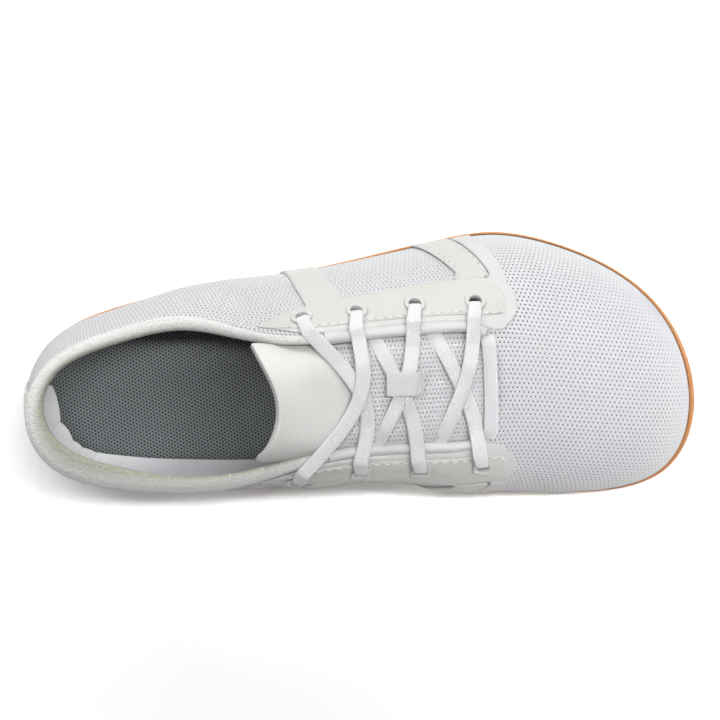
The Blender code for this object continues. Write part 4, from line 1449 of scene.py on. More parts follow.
def make_insole(sizes, colours):
    """Loose insole of dark spacer mesh."""
    def ring(inset, height):
        def around(stations):
            points = wall(stations, 0.0) - foot_out(stations) * (INSOLE_INSET + inset)
            points[:, 2] = sole_floor(points[:, 0]) + GAP + height
            return points
        return around

    def lying(height):
        return lambda x: sole_floor(x) + GAP + height

    rings = [ring(inset, height) for inset, height in INSOLE_SIDE]
    lower, upper = (lying(INSOLE_SIDE[level][1]) for level in (0, -1))
    form = rings_solid(rings, RING_COLUMNS * STATIONS, INSOLE_ROWS, lower, upper, INSOLE_TURN)
    mesh = kept_material(insole_material, "spacer mesh", sizes, colours)
    insole = add_piece("insole_mesh", form, (mesh,), "spacer_mesh", "insole")


def top_line_stations(count):
    """Stations at even lengths along the top line."""
    fine = np.linspace(0.0, STATIONS, TOP_LINE_POINTS)
    lengths = run_lengths(wall(fine, 1.0))
    return np.interp(np.linspace(0.0, lengths[-1], count + 1), lengths, fine), lengths[-1]


def make_collar(sizes, colours):
    """Padded binding on the wall's top edge: ribbed round the collar, plain along the throat."""
    total = top_line_stations(2)[1]
    ribs = round(total / (sizes.rib_pitch / MM))
    columns = ribs * COLUMNS_PER_RIB
    stations = top_line_stations(columns)[0]

    def ribbed(turns):
        return 1.0 - stretch(turns % STATIONS, *COLLAR_PLAIN)

    def fronted(turns):
        return (turns > FRONT_STATIONS[0]) & (turns < FRONT_STATIONS[1])

    def fronting(turns):
        first, last = FRONT_STATIONS
        before, within = FRONT_SOFT
        return stretch(turns, first - before, first + within, last - within, last + before)

    def inner(v):
        """Share of the olive, painted-shade inside: none outside the binding, all on the inside of the shoe.
        """
        return smooth_step(*COLLAR_INNER, np.cos(2.0 * np.pi * v))

    def rib_share(v):
        return smooth_step(*COLLAR_RIBBED, np.cos(2.0 * np.pi * v))

    def padding(turns):
        """Width that the collar gains towards the foot at the inner heel."""
        place, reach, half = COLLAR_PAD
        away = (turns - place + STATIONS / 2.0) % STATIONS - STATIONS / 2.0
        return reach * smooth_step(half, 0.0, np.abs(away))

    def slant(turns):
        """How far the collar leans outward along the inner side of the foot."""
        return COLLAR_SLANT * stretch(turns, *COLLAR_SLANTED)

    def place(u, v):
        column = np.round(u * columns).astype(int)
        at = stations[column]
        top, rising, out = top_edge(at)
        wave = np.cos(2.0 * np.pi * column / COLUMNS_PER_RIB)
        radius = last_rows(at)[:, ROLL, None] * (1.0 - FRONT_THIN * fronting(at))[:, None]
        swell = radius + (ribbed(at) * rib_share(v) * sizes.rib_height / MM * wave)[:, None]
        centre = top - out * WALL / 2.0 + rising * (radius + GAP)
        turn = (2.0 * np.pi * v)[:, None]
        pad = np.maximum(-np.cos(turn), 0.0) * padding(at)[:, None]
        height = (np.sin(turn) - slant(at)[:, None] * np.cos(turn)) * swell + COLLAR_PAD_RISE * pad
        return centre + (np.cos(turn) * swell - pad) * out + height * rising

    def chart(u, v):
        return np.column_stack((u * total, v * COLLAR_ROUND))

    def strength(u, v):
        at = stations[np.round(u * columns).astype(int)]
        shares = np.column_stack((ribbed(at) * rib_share(v), inner(v)))
        return np.where(fronted(at)[:, None], FRONT_OPENNESS, shares)

    form = bmesh.new()
    sheet(form, columns, BINDING_ROWS, place, {"cloth": chart, "strength": strength})
    cloth = form.loops.layers.uv["cloth"]
    for face in form.faces:
        column = round(sum(loop[cloth].uv.x for loop in face.loops) / len(face.loops) / total * columns)
        face.material_index = int(fronted(stations[column]))
    weld(form)
    materials = (kept_material(rib_material, "collar rib", colours, total / ribs),
                 kept_material(knit_material, "white knit", sizes, colours))
    collar = add_piece("collar_binding", form, materials, "rib_knit", "collar_roll")


def panel_share(u, v):
    """Share and across of the tongue's smooth top: u 0 at its front seam, 1 at its free end."""
    across = TONGUE_PANEL_HALF * (2.0 * v - 1.0)
    medial, middle, lateral = TONGUE_SEAM
    seam = middle + np.where(across > 0.0, lateral - middle, medial - middle) * across * across
    return seam + (1.0 - seam) * u, across


def make_tongue(sizes, colours):
    """Padded tongue of open knit with a smooth sewn top."""
    form = bmesh.new()

    def body(u, v, lift):
        thinned = lift * (1.0 - TONGUE_THIN * smooth_step(TONGUE_THIN_FROM, 1.0, u))
        return tongue_skin(u, 2.0 * v - 1.0, thinned)

    def cloth(u, v):
        points = tongue_points(u, 2.0 * v - 1.0)
        return np.column_stack((points[:, 0] * TONGUE_STRETCH, points[:, 1]))

    def strength(u, v):
        return np.tile(TONGUE_OPENNESS, (len(u), 1))

    slab(form, "tongue", body, -TONGUE_THICKNESS, 0.0, charts={"cloth": cloth, "strength": strength})
    for face in form.faces:
        face.material_index = int(face.calc_center_median().x < TONGUE_END * MM)
    knit = kept_material(knit_material, "white knit", sizes, colours)
    smooth_cloth = kept_material(leather_material, "tongue cloth", colours)
    edge = kept_material(leather_material, "pressed edge", colours)
    tongue = add_piece("tongue_knit", form, (knit, smooth_cloth), "tongue_cloth", "tongue")

    top = bmesh.new()

    def panel(u, v, lift):
        return tongue_skin(*panel_share(u, v), lift)

    def hem(u, v, lift):
        thinned = lift * (1.0 - TONGUE_THIN * smooth_step(0.0, 1.0, u))
        return tongue_skin(*panel_share(blend(TONGUE_HEM, u), v), thinned)

    slab(top, "tongue top", panel, 0.0, TONGUE_PANEL_LIFT, lined=(1, "u0"))
    slab(top, "tongue hem", hem, -TONGUE_THICKNESS, TONGUE_HEM_LIFT)
    add_piece("tongue_top", top, (smooth_cloth, edge), "tongue_cloth")


def eyestay_place(u, v, turn, inset):
    """Stations and rises of an eyestay: u from the collar to the toe, v down from the throat."""
    rows = open_rows(EYESTAY, EYESTAY_BENDS, u * (len(EYESTAY) - 1))
    front = smooth_step(*EYESTAY_FRONT, rows[:, 0])
    drawn_up, drawn_back = EYESTAY_DRAWN
    lower = rows[:, 2] - drawn_up * front * inset
    hidden = EYESTAY_STEP * np.maximum(inset, 1.0 - smooth_step(*EYESTAY_TAIL, u))
    swell = EYESTAY_SWELL * front * (1.0 - inset)
    upper = np.minimum(rows[:, 1] - EYESTAY_REACH + hidden - swell, lower - EYESTAY_LEAST)
    stations = turn(rows[:, 0] - drawn_back * front * inset)
    return stations, rise_at(stations, upper + (lower - upper) * v)


def rolled_edge(stations, turns, lift):
    """Points over the throat's edge: turn 1 inside the binding, 0 where it leaves the wall, less below."""
    top, rising, out = top_edge(stations)
    radius = last_rows(stations)[:, ROLL]
    centre = top - out * WALL / 2.0 + rising * (radius + GAP)[:, None]
    start, sweep = (math.radians(angle) for angle in ROLLED_ANGLES)
    angle = start + sweep * np.maximum(turns, 0.0)
    reach = (radius + SEAT + lift)[:, None]
    around = centre + reach * (np.cos(angle)[:, None] * out + np.sin(angle)[:, None] * rising)
    below = skin(stations, rise_at(stations, np.maximum(-turns, 0.0) * ROLLED_DOWN), lift)
    return np.where(turns[:, None] > 0.0, around, below)


def overlay_materials(colours):
    """White layer, cream leather and the pressed edges of both."""
    names = ("white felt", "cream leather", "pressed edge")
    return [kept_material(leather_material, name, colours) for name in names]


def make_eyestays(sizes, colours):
    """Eyestays: a white layer with a cream leather layer stitched on it."""
    materials = overlay_materials(colours)
    base = GAP + sizes.base_layer / MM
    layers = (("felt", 0.0, SEAT, base), ("leather", 1.0, base - LAYER_SINK, base + sizes.top_layer / MM))
    least, whole = EYESTAY_THIN
    for side, turn in SIDES:
        for number, (name, inset, low, high) in enumerate(layers):
            def shape(u, v, lift):
                thin = least + (1.0 - least) * smooth_step(0.0, whole, u)
                return skin(*eyestay_place(u, v, turn, inset), lift * thin)

            form = bmesh.new()
            slab(form, name, shape, low, high, material=number, lined=(2, "v1"))
            nodes = () if number else (f"eyestay_{side}",)
            layer = add_piece(f"eyestay_{side}_{name}", form, materials, "synthetic_leather", *nodes)
            drill_eyelets(layer, (side,))

        def rolled(u, v, lift):
            return rolled_edge(turn(blend(ROLLED_STATIONS, u)), 1.0 - v / ROLLED_SHARE, lift)

        form = bmesh.new()
        slab(form, "throat edge", rolled, 0.0, sizes.base_layer / MM)
        add_piece(f"throat_edge_{side}", form, materials, "synthetic_leather")


def band_place(u, v, name, turn):
    """Stations and rises of a band: u from heel to toe across it, v up from the sole to under the eyestay."""
    band = BANDS[name]
    foot = band["foot"] + band["foot_width"] * u
    top = band["top"] + band["top_width"] * u
    straight = foot + (top - foot) * v ** BAND_SLANT[name]
    meets = eyestay_edge(turn, straight, 0.0) - BAND_RISE
    meets /= eyestay_edge(turn, straight, BAND_TUCK) - BAND_RISE
    bend = np.clip((v - meets) / BAND_BEND + 1.0, 0.0, 1.0)
    plain = straight - BAND_FLARE[name] * (1.0 - u) * (1.0 - np.sqrt(1.0 - bend * bend))
    return turn(plain), BAND_RISE + (eyestay_edge(turn, plain, BAND_TUCK) - BAND_RISE) * v


def eyestay_edge(turn, plain, tuck):
    """Rises at the lower edge of an eyestay, or so far up under it."""
    return rise_at(turn(plain), np.interp(plain, EYESTAY_LINE[:, 0], EYESTAY_LINE[:, 2]) - tuck)


def window_edge(turn):
    """Raised edge round the open window: up the saddle's rear edge, then back along the eyestay."""
    up, back = WINDOW_POINTS
    foot, rises = band_place(np.zeros(up), np.linspace(WINDOW_END, 1.0, up), "saddle", turn)
    seen = rises < eyestay_edge(turn, turn(foot), 0.0)
    plain = np.linspace(turn(foot[seen][-1]), WINDOW_START, back)[1:]
    stations = np.concatenate((foot[seen], turn(plain)))
    rises = np.concatenate((rises[seen], eyestay_edge(turn, plain, 0.0)))
    raised = smooth_step(WINDOW_START, WINDOW_START + WINDOW_RISE, turn(stations))
    points, normals = wall_line(stations, rises, WINDOW_LIFT * blend((WINDOW_LOW, 1.0), raised))
    sides = np.cross(normals, np.gradient(points, axis=0))
    widths, thicknesses = (np.full(len(points), size) for size in WINDOW_EDGE)
    form = bmesh.new()
    ribbon(form, points, sides, widths, thicknesses, WINDOW_ROUND)
    return form


def make_bands(sizes, colours):
    """Forefoot saddles of two layers and plain waist bands."""
    materials = overlay_materials(colours)
    for side, turn in SIDES:
        def strip(ends, name):
            def shape(u, v, lift):
                tucked = lift * (1.0 - BAND_THIN * smooth_step(*BAND_THIN_RISES, v))
                return skin(*band_place(blend(ends, u), v, name, turn), tucked)
            return shape

        saddle = bmesh.new()
        slab(saddle, "saddle", strip(SADDLE_LEATHER, "saddle"), SEAT, GAP + OVERLAY, material=1,
             lined=(2, "u0"))
        slab(saddle, "saddle strip", strip(SADDLE_FELT, "saddle"), SEAT, GAP + SADDLE_FELT_LIFT,
             lined=(2, "u0 u1"))
        add_piece(f"saddle_{side}_leather", saddle, materials, "synthetic_leather", f"saddle_{side}")
        add_piece(f"window_edge_{side}", window_edge(turn), materials[1:2], "synthetic_leather")
        band = bmesh.new()
        slab(band, "waist band", strip((0.0, 1.0), "waist_band"), SEAT, GAP + OVERLAY, material=1,
             lined=(2, "u0 u1"))
        add_piece(f"waist_band_{side}_leather", band, materials, "synthetic_leather", f"waist_band_{side}")


def heel_strip_place(u, v):
    """Stations and rises of the heel strip: u across it, v up from the sole."""
    return HEEL_STRIP_HALF * (2.0 * u - 1.0), blend(HEEL_STRIP_RISE, v)


def make_heel_strip(sizes, colours):
    """Leather strip up the back seam."""
    form = bmesh.new()

    def shape(u, v, lift):
        return skin(*heel_strip_place(u, v), lift)

    slab(form, "heel strip", shape, SEAT, GAP + HEEL_STRIP_LIFT)
    leather = kept_material(leather_material, "cream leather", colours)
    add_piece("heel_strip_leather", form, (leather,), "synthetic_leather", "heel_strip")


def make_eyelets(sizes, colours):
    """Moulded eyelets: a rounded flange and a barrel through eyestay and wall."""
    inner, outer = EYELET_FLANGE
    seat = GAP + OVERLAY + GAP
    foot = seat - EYELET_DEPTH
    middle = (inner + outer) / 2.0
    half = (outer - inner) / 2.0
    turns = np.linspace(math.pi, 0.0, EYELET_CROWN)
    crown = [(middle + half * math.cos(turn), seat + EYELET_HEIGHT * math.sin(turn) ** EYELET_ROUND)
             for turn in turns]
    profile = [(inner, foot), *crown, (EYELET_BARREL, seat - EYELET_SINK), (EYELET_BARREL, foot)]
    plastic = kept_material(moulded_material, "eyelet plastic", colours)
    for side, _ in SIDES:
        for number, station in enumerate(EYELET_STATIONS[side], 1):
            form = bmesh.new()
            corners = [form.verts.new((radius * MM, 0.0, height * MM)) for radius, height in profile]
            edges = [form.edges.new((corners[i - 1], corners[i])) for i in range(len(corners))]
            bmesh.ops.spin(form, geom=corners + edges, cent=(0, 0, 0), axis=(0, 0, 1), angle=2.0 * math.pi,
                           steps=EYELET_STEPS, use_merge=True)
            weld(form)
            centre, normal, _ = eyelet_frame(station)
            bmesh.ops.transform(form, matrix=facing_matrix(centre, normal), verts=form.verts)
            add_piece(f"eyelet_ring_{side}_{number}", form, (plastic,), "eyelet_plastic",
                      f"eyelet_{side}_{number}")


def search_tree(name):
    """Search tree of a finished piece."""
    mesh = bpy.data.objects[name].data
    corners = [corner.co for corner in mesh.vertices]
    return BVHTree.FromPolygons(corners, [tuple(face.vertices) for face in mesh.polygons])


def height_over(point, grounds):
    """Height at which something laid on the pieces below comes to rest."""
    best = None
    for tree, clearance in grounds:
        hit = tree.ray_cast(Vector((point[0] * MM, point[1] * MM, 1.0)), Vector((0.0, 0.0, -1.0)))[0]
        if hit is not None:
            height = hit.z / MM + clearance
            best = height if best is None else max(best, height)
    return best


def settled(heights):
    """Heights of a band drawn tight: never below the given ones, without their sharp turns."""
    count = len(heights)
    crest = [max(heights[max(0, i - LACE_HOLD):i + LACE_HOLD + 1]) for i in range(count)]
    return [float(np.mean(crest[max(0, i - LACE_FINE):i + LACE_FINE + 1])) for i in range(count)]


class Strand:
    """Flat band laid along a smooth way over the pieces below: middles, sideways directions, widths."""

    def __init__(self, way, width, thickness, grounds, passes=1, tuck=0.0):
        path = np.array([point[:2] for point in way])
        line = open_rows(path, open_bends(path), np.linspace(0.0, len(path) - 1, LACE_COUNT))
        runs = unit(np.gradient(line, axis=0))
        across = np.stack((-runs[:, 1], runs[:, 0]), axis=1) * width / 2.0
        found = [[height_over(point, grounds) for point in line + across * share]
                 for share in (1.0, 0.0, -1.0)]
        lowest = min(height for row in found for height in row if height is not None)
        rows = [[lowest if height is None else height for height in row] for row in found]
        for _ in range(passes):
            rows = [settled(row) for row in rows]
        rows = np.array(rows)
        rows = np.maximum(rows, rows.max(axis=0) - width * LACE_LEAN)
        rows[1] = np.maximum(rows[1], (rows[0] + rows[2]) / 2.0)
        rows -= tuck * smooth_step(LACE_TUCK_FROM, 1.0, np.linspace(0.0, 1.0, LACE_COUNT))
        self.left = np.column_stack((line + across, rows[0] + thickness))
        self.right = np.column_stack((line - across, rows[2] + thickness))
        self.middles = np.column_stack((line, rows[1] + thickness / 2.0))
        self.sides = unit(self.left - self.right)
        self.widths = np.full(LACE_COUNT, width)

    def tree(self):
        """Search tree of its upper face."""
        corners = [Vector(point) * MM for point in np.concatenate((self.left, self.right))]
        faces = [(i, i + 1, LACE_COUNT + i + 1, LACE_COUNT + i) for i in range(LACE_COUNT - 1)]
        return BVHTree.FromPolygons(corners, faces)


def throat_point(station):
    """Place in plan just inside the binding at a station of the throat."""
    step = 0.05
    stations = np.array((station,))
    top = wall(stations, 1.0)[0]
    inward = unit(top - wall(stations, 1.0 - step)[0])
    return top + inward * LACE_EDGE


def beside_eyelet(station, towards):
    """Place in plan at an eyelet's rim, on the way to another place."""
    centre = eyelet_frame(station)[0]
    return centre[:2] + unit(np.array(towards[:2]) - centre[:2]) * LACE_EYELET_CLEAR


OTHER = {"lateral": "medial", "medial": "lateral"}


def crossing_way(side, number):
    """Way in plan of the strand that rises from an eyelet and crosses to the other side."""
    front = EYELET_STATIONS[side][number]
    far_front = EYELET_STATIONS[OTHER[side]][number]
    far_back = EYELET_STATIONS[OTHER[side]][number - 1]
    start = eyelet_frame(front)[0]
    if number == 1:
        end = eyelet_frame(far_back)[0]
    else:
        end = throat_point(far_front + (far_back - far_front) * LACE_UNDER)
    middle = (start + end) / 2.0 + np.array((LACE_SWAY[number], 0.0, 0.0))
    if number == 1:
        end = beside_eyelet(far_back, middle)
    return beside_eyelet(front, middle), middle, end


def lace_strands(sizes):
    """Front bar and crossings, each laid over those before it."""
    width = sizes.lace_width / MM
    thickness = sizes.lace_thickness / MM
    middle_ground = [(search_tree(name), LACE_GAP) for name in ("tongue_knit", "tongue_top")]
    side_grounds = {}
    for side in OTHER:
        names = [f"eyestay_{side}_leather", f"eyestay_{side}_felt", f"throat_edge_{side}"]
        names += [f"eyelet_ring_{side}_{number}" for number, _ in enumerate(EYELET_STATIONS[side], 1)]
        side_grounds[side] = [(search_tree(name), LACE_GAP) for name in names]
    throat = wall(TOE_STATION + BAR_STATIONS * np.array((0, -1, 1)), 1.0)
    x = throat[0, 0] - BAR_SETBACK
    lateral = throat[1, 1] - BAR_MARGIN
    medial = throat[2, 1] + BAR_MARGIN
    middle = (lateral + medial) / 2.0
    front_ground = middle_ground + [(search_tree(name), LACE_GAP)
                                    for name in ("collar_binding", "upper_knit")]
    strands = {"bar": Strand(((x, lateral), (x + BAR_BOW, middle), (x + BAR_BOW, medial)), width, thickness,
                             front_ground)}
    laid = [(strands["bar"].tree(), LACE_GAP)]
    for number in LACE_SWAY:
        for side in ("medial", "lateral"):
            near = ("lateral", "medial") if number == 1 else (side,)
            below = middle_ground + [piece for end in near for piece in side_grounds[end]] + laid
            strand = Strand(crossing_way(side, number), width, thickness, below,
                            tuck=0.0 if number == 1 else LACE_TUCK)
            strands[side, number] = strand
            laid.append((strand.tree(), LACE_CROSS_GAP))
    return strands


def bridge(start, end, start_pull, end_pull, count):
    """Sections of a band that bends from one section to another: (middle, side, width) each."""
    share = np.linspace(0.0, 1.0, count + 2)[1:-1, None]
    square = share * share
    cube = square * share
    middles = (2 * cube - 3 * square + 1) * start[0] + (cube - 2 * square + share) * start_pull \
        + (3 * square - 2 * cube) * end[0] + (cube - square) * end_pull
    end_side = end[1] * (1.0 if np.dot(start[1], end[1]) >= 0.0 else -1.0)
    sides = unit(start[1] * (1.0 - share) + end_side * share)
    widths = start[2] + (end[2] - start[2]) * smooth_step(0.0, 1.0, share[:, 0])
    return middles, sides, widths


def eyelet_sections(station, side):
    """Sections of the lace under an eyelet and in its hole, and the way up through it."""
    centre, normal, towards = eyelet_frame(station)
    across = unit(side - normal * np.dot(side, normal))
    depth, low_shift, low_width = LACE_BELOW
    height, high_shift, high_width = LACE_WITHIN
    low = centre - normal * (WALL + depth) + towards * low_shift
    high = centre + normal * (GAP + OVERLAY + height) + towards * high_shift
    return (low, across, low_width), (high, across, high_width), normal


class Run:
    """Lace put together section by section."""

    def __init__(self):
        self.middles = []
        self.sides = []
        self.widths = []

    def take(self, middles, sides, widths):
        """Add sections, without a twist of the band."""
        for middle, side, width in zip(middles, sides, widths):
            if self.sides and np.dot(side, self.sides[-1]) < 0.0:
                side = -side
            self.middles.append(middle)
            self.sides.append(side)
            self.widths.append(width)

    def last(self):
        """Section that was added last."""
        return self.middles[-1], self.sides[-1], self.widths[-1]

    def heading(self):
        """Direction in which it goes on."""
        return unit(self.middles[-1] - self.middles[-2])

    def bend_to(self, section, heading, leave, arrive, count):
        """Go on smoothly to a section, leaving along the present heading and arriving along another."""
        self.take(*bridge(self.last(), section, self.heading() * leave, heading * arrive, count))
        self.take((section[0],), (section[1],), (section[2],))


def thread_run(strands, side, run):
    """Lead the lace from the end of the front bar up through its eyelets to the top."""
    here = side
    for number in LACE_SWAY:
        strand = strands[here, number]
        low, high, normal = eyelet_sections(EYELET_STATIONS[here][number], strand.sides[0])
        run.bend_to(low, normal, *LACE_TO_EYELET)
        run.bend_to(high, normal, *LACE_THROUGH)
        first = (strand.middles[0], strand.sides[0], strand.widths[0])
        run.bend_to(first, unit(strand.middles[1] - strand.middles[0]), *LACE_OUT)
        run.take(strand.middles[1:], strand.sides[1:], strand.widths[1:])
        here = OTHER[here]
    low, high, normal = eyelet_sections(EYELET_STATIONS[here][0], run.sides[-1])
    run.bend_to(high, -normal, *LACE_OUT)
    run.bend_to(low, -normal, *LACE_THROUGH)


def ribbon(form, middles, sides, widths, thicknesses, around):
    """Band with rounded edges through its sections."""
    middles = np.array(middles)
    sides = np.array(sides)
    last = len(middles) - 1
    runs = unit(np.gradient(middles, axis=0))
    sides = unit(sides - runs * np.sum(sides * runs, axis=1, keepdims=True))
    flat = np.cross(runs, sides)
    lengths = run_lengths(middles)
    edges, flats = RIBBON_ROUND

    def oval(turns, power):
        return np.sign(turns) * np.abs(turns) ** power

    def profile(u, v):
        at = np.round(u * last).astype(int)
        turn = 2.0 * np.pi * v
        wide = oval(np.cos(turn), edges) * widths[at] / 2.0
        return at, wide, oval(np.sin(turn), flats) * thicknesses[at] / 2.0

    def place(u, v):
        at, wide, thick = profile(u, v)
        return middles[at] + sides[at] * wide[:, None] + flat[at] * thick[:, None]

    def chart(u, v):
        at, wide, _ = profile(u, v)
        return np.column_stack((wide, lengths[at]))

    sheet(form, last, around, place, {"cloth": chart})
    bmesh.ops.remove_doubles(form, verts=form.verts, dist=WELD)
    bmesh.ops.holes_fill(form, edges=[edge for edge in form.edges if edge.is_boundary])
    bmesh.ops.recalc_face_normals(form, faces=form.faces)


def make_laces(sizes, colours):
    """One flat lace from top eyelet to top eyelet, through all eight."""
    strands = lace_strands(sizes)
    runs = {}
    for side in ("medial", "lateral"):
        run = Run()
        bar = strands["bar"]
        half = LACE_COUNT // 2
        order = slice(half, None) if side == "medial" else slice(half, None, -1)
        run.take(bar.middles[order], bar.sides[order], bar.widths[order])
        thread_run(strands, side, run)
        runs[side] = run
    middles = runs["medial"].middles[:0:-1] + runs["lateral"].middles
    sides = runs["medial"].sides[:0:-1] + runs["lateral"].sides
    widths = np.array(runs["medial"].widths[:0:-1] + runs["lateral"].widths)
    whole = Run()
    whole.take(middles, sides, widths)
    form = bmesh.new()
    thicknesses = np.full(len(widths), sizes.lace_thickness / MM)
    ribbon(form, whole.middles, whole.sides, widths, thicknesses, LACE_ROUND)
    woven = kept_material(lace_material, "woven lace", colours)
    add_piece("lace", form, (woven,), "lace_cloth", "lace_bar", "lace_crossing_1", "lace_crossing_2",
              "lace_crossing_3")


def make_keeper(sizes, colours):
    """Ribbed elastic loop that holds the middle crossing."""
    grounds = [(search_tree(name), LACE_GAP) for name in ("tongue_knit", "tongue_top", "lace")]
    reach = np.array((KEEPER_LENGTH / 2.0, 0.0))
    centre = np.array((along(KEEPER_PLACE[0]), abreast(KEEPER_PLACE[1])))
    thickness = sizes.keeper_thickness / MM
    strand = Strand((centre - reach, centre, centre + reach), KEEPER_WIDTH, thickness, grounds, passes=2)
    fine = np.linspace(0, LACE_COUNT - 1, KEEPER_FINE * LACE_COUNT)
    middles, sides = (points_at(fine, np.arange(LACE_COUNT), line) for line in (strand.middles, strand.sides))
    lengths = np.linspace(0.0, KEEPER_LENGTH, len(fine))
    ribs = stretch(lengths, *KEEPER_RIBBED) * np.cos(2.0 * np.pi * lengths / KEEPER_RIB)
    thicknesses = thickness * (1.0 + KEEPER_RIB_HEIGHT * ribs)
    form = bmesh.new()
    ribbon(form, middles, sides, np.full(len(fine), KEEPER_WIDTH), thicknesses, KEEPER_ROUND)
    elastic = kept_material(leather_material, "elastic", colours)
    add_piece("keeper_elastic", form, (elastic,), "rib_knit", "lace_keeper")


def seam(beads, points, normals, sizes):
    """Add stitches along a line, with a bead of painted needle-hole shade between each two: (places, size,
    material) of beads.
    """
    radius = sizes.stitch_radius / MM
    lengths = run_lengths(points)
    count = max(1, int(lengths[-1] / (sizes.stitch_pitch / MM)))
    pitch = lengths[-1] / count

    def row(places, half_length, half_width, half_height, sink, material):
        before, on = (points_at(places + step, lengths, points) for step in (-SEAM_STEP, SEAM_STEP))
        runs = unit(on - before)
        across = unit(np.cross(points_at(places, lengths, normals), runs))
        upward = np.cross(runs, across)
        turns = np.stack((runs * half_length, across * half_width, upward * half_height), axis=1)
        beads.append((points_at(places, lengths, points) - upward * sink, turns, material))

    middles = (np.arange(count) + 0.5) * pitch
    row(middles, pitch * STITCH_SHARE / 2.0, radius, radius, radius * STITCH_SINK, 0)
    # Needle holes: dark beads of painted shade
    row(middles[:-1] + pitch / 2.0, *NEEDLE_HOLE, 1)


def bead_mesh(name, beads):
    """Mesh of copies of one small rounded bead."""
    form = bmesh.new()
    bmesh.ops.create_uvsphere(form, u_segments=8, v_segments=5, radius=1.0)
    corners = np.array([corner.co for corner in form.verts])
    faces = [[corner.index for corner in face.verts] for face in form.faces]
    form.free()
    points = np.concatenate([(places[:, None, :] + corners @ turns).reshape(-1, 3)
                             for places, turns, _ in beads])
    counts = [len(places) for places, _, _ in beads]
    starts = len(corners) * np.arange(sum(counts))
    mesh = bpy.data.meshes.new(name)
    copies = [[start + corner for corner in face] for start in starts for face in faces]
    mesh.from_pydata(points * MM, [], copies)
    materials = np.repeat([material for _, _, material in beads], np.array(counts) * len(faces))
    mesh.polygons.foreach_set("material_index", materials.astype(np.int32))
    return mesh


def wall_line(stations, rises, lift):
    """Line over the wall and the directions it faces."""
    return skin(stations, rises, lift), wall_normal(stations, rises)


def make_stitches(sizes, colours):
    """Seams of eyestays, bands, heel strip and tongue."""
    beads = []
    leather_top = GAP + (sizes.base_layer + sizes.top_layer) / MM
    start, front = EYESTAY_SEAM["along"]
    upper, lower = EYESTAY_SEAM["down"]
    along_points, down_points = EYESTAY_SEAM["points"]

    def lines(seams):
        run = np.linspace(*seams["run"], seams["points"])
        return [(np.full(len(run), line), run) for line in seams["lines"]]

    for _, turn in SIDES:
        u = np.concatenate((np.linspace(start, front, along_points), np.full(down_points, front)))
        v = np.concatenate((np.full(along_points, upper), np.linspace(upper, lower, down_points)))
        seam(beads, *wall_line(*eyestay_place(u, v, turn, 1.0), leather_top), sizes)
        for u, v in lines(SADDLE_SEAM):
            seam(beads, *wall_line(*band_place(u, v, "saddle", turn), GAP + OVERLAY), sizes)
    for u, v in lines(HEEL_SEAM):
        seam(beads, *wall_line(*heel_strip_place(u, v), GAP + HEEL_SEAM["lift"]), sizes)
    for u, v in lines(TONGUE_QUILT):
        points, raised = (tongue_skin(*panel_share(u, v), TONGUE_QUILT["lift"] + more) for more in (0.0, 1.0))
        seam(beads, points, raised - points, sizes)
    thread = kept_material(thread_material, "sewing thread", colours.thread, THREAD_ROUGH)
    # Needle holes painted with their shade
    needle = kept_material(thread_material, "needle hole", colours.needle, NEEDLE_ROUGH)
    add_piece("stitches", bead_mesh("stitches", beads), (thread, needle), "synthetic_leather")


def soft_light(name, power):
    """Soft light of LIGHTS, turned to the shoe."""
    place, size, aim, spread = LIGHTS[name]
    light = bpy.data.lights.new(name, "AREA")
    light.shape = "RECTANGLE"
    light.size, light.size_y = size
    light.energy = power
    light.spread = math.radians(spread)
    lamp = bpy.data.objects.new(name, light)
    bpy.context.scene.collection.objects.link(lamp)
    lamp.location = place
    lamp.rotation_euler = (Vector(aim) - lamp.location).to_track_quat("-Z", "Y").to_euler()


def make_stage(stage, colours):
    """Pale floor, soft light and a camera at the photograph's angle."""
    scene = bpy.context.scene
    scene.view_settings.view_transform = "Standard"
    camera = bpy.data.objects.new("camera", bpy.data.cameras.new("camera"))
    scene.collection.objects.link(camera)
    x, y = stage.aim
    camera.location = (x, y + stage.distance * math.sin(stage.tilt), stage.distance * math.cos(stage.tilt))
    camera.rotation_euler = (-stage.tilt, 0.0, 0.0)
    camera.data.sensor_width = SENSOR_WIDTH
    camera.data.lens = stage.lens
    scene.camera = camera

    form = bmesh.new()
    bmesh.ops.create_grid(form, x_segments=8, y_segments=8, size=FLOOR_HALF)
    mesh = as_mesh("floor", form)
    look = Look("pale floor", {"Roughness": 0.9, "Specular IOR Level": 0.1})
    look.paint(look.clouded("floor", colours.floor))
    mesh.materials.append(look.material)
    floor = bpy.data.objects.new("floor", mesh)
    scene.collection.objects.link(floor)
    floor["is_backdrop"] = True

    world = bpy.data.worlds.new("studio")
    world.use_nodes = True
    back = world.node_tree.nodes["Background"]
    back.inputs["Color"].default_value = (1.0, 1.0, 1.0, 1.0)
    back.inputs["Strength"].default_value = stage.fill
    scene.world = world

    for name in LIGHTS:
        soft_light(name, getattr(stage, f"{name}_power"))


class SneakerOperator:
    """What the operators share."""
    bl_options = {"REGISTER", "UNDO"}
    make = None

    def execute(self, context):
        type(self).make(context.scene.sneaker_sizes, context.scene.sneaker_colours)
        return {"FINISHED"}


class SNEAKER_OT_stage(bpy.types.Operator):
    """Set the floor, the light and the camera"""
    bl_idname = "sneaker.stage"
    bl_label = "Stage"

    def execute(self, context):
        make_stage(context.scene.sneaker_stage, context.scene.sneaker_colours)
        return {"FINISHED"}


class SNEAKER_OT_sole(SneakerOperator, bpy.types.Operator):
    """Mould the gum sole"""
    bl_idname = "sneaker.sole"
    bl_label = "Sole"
    make = make_sole


class SNEAKER_OT_insole(SneakerOperator, bpy.types.Operator):
    """Lay the mesh insole in"""
    bl_idname = "sneaker.insole"
    bl_label = "Insole"
    make = make_insole


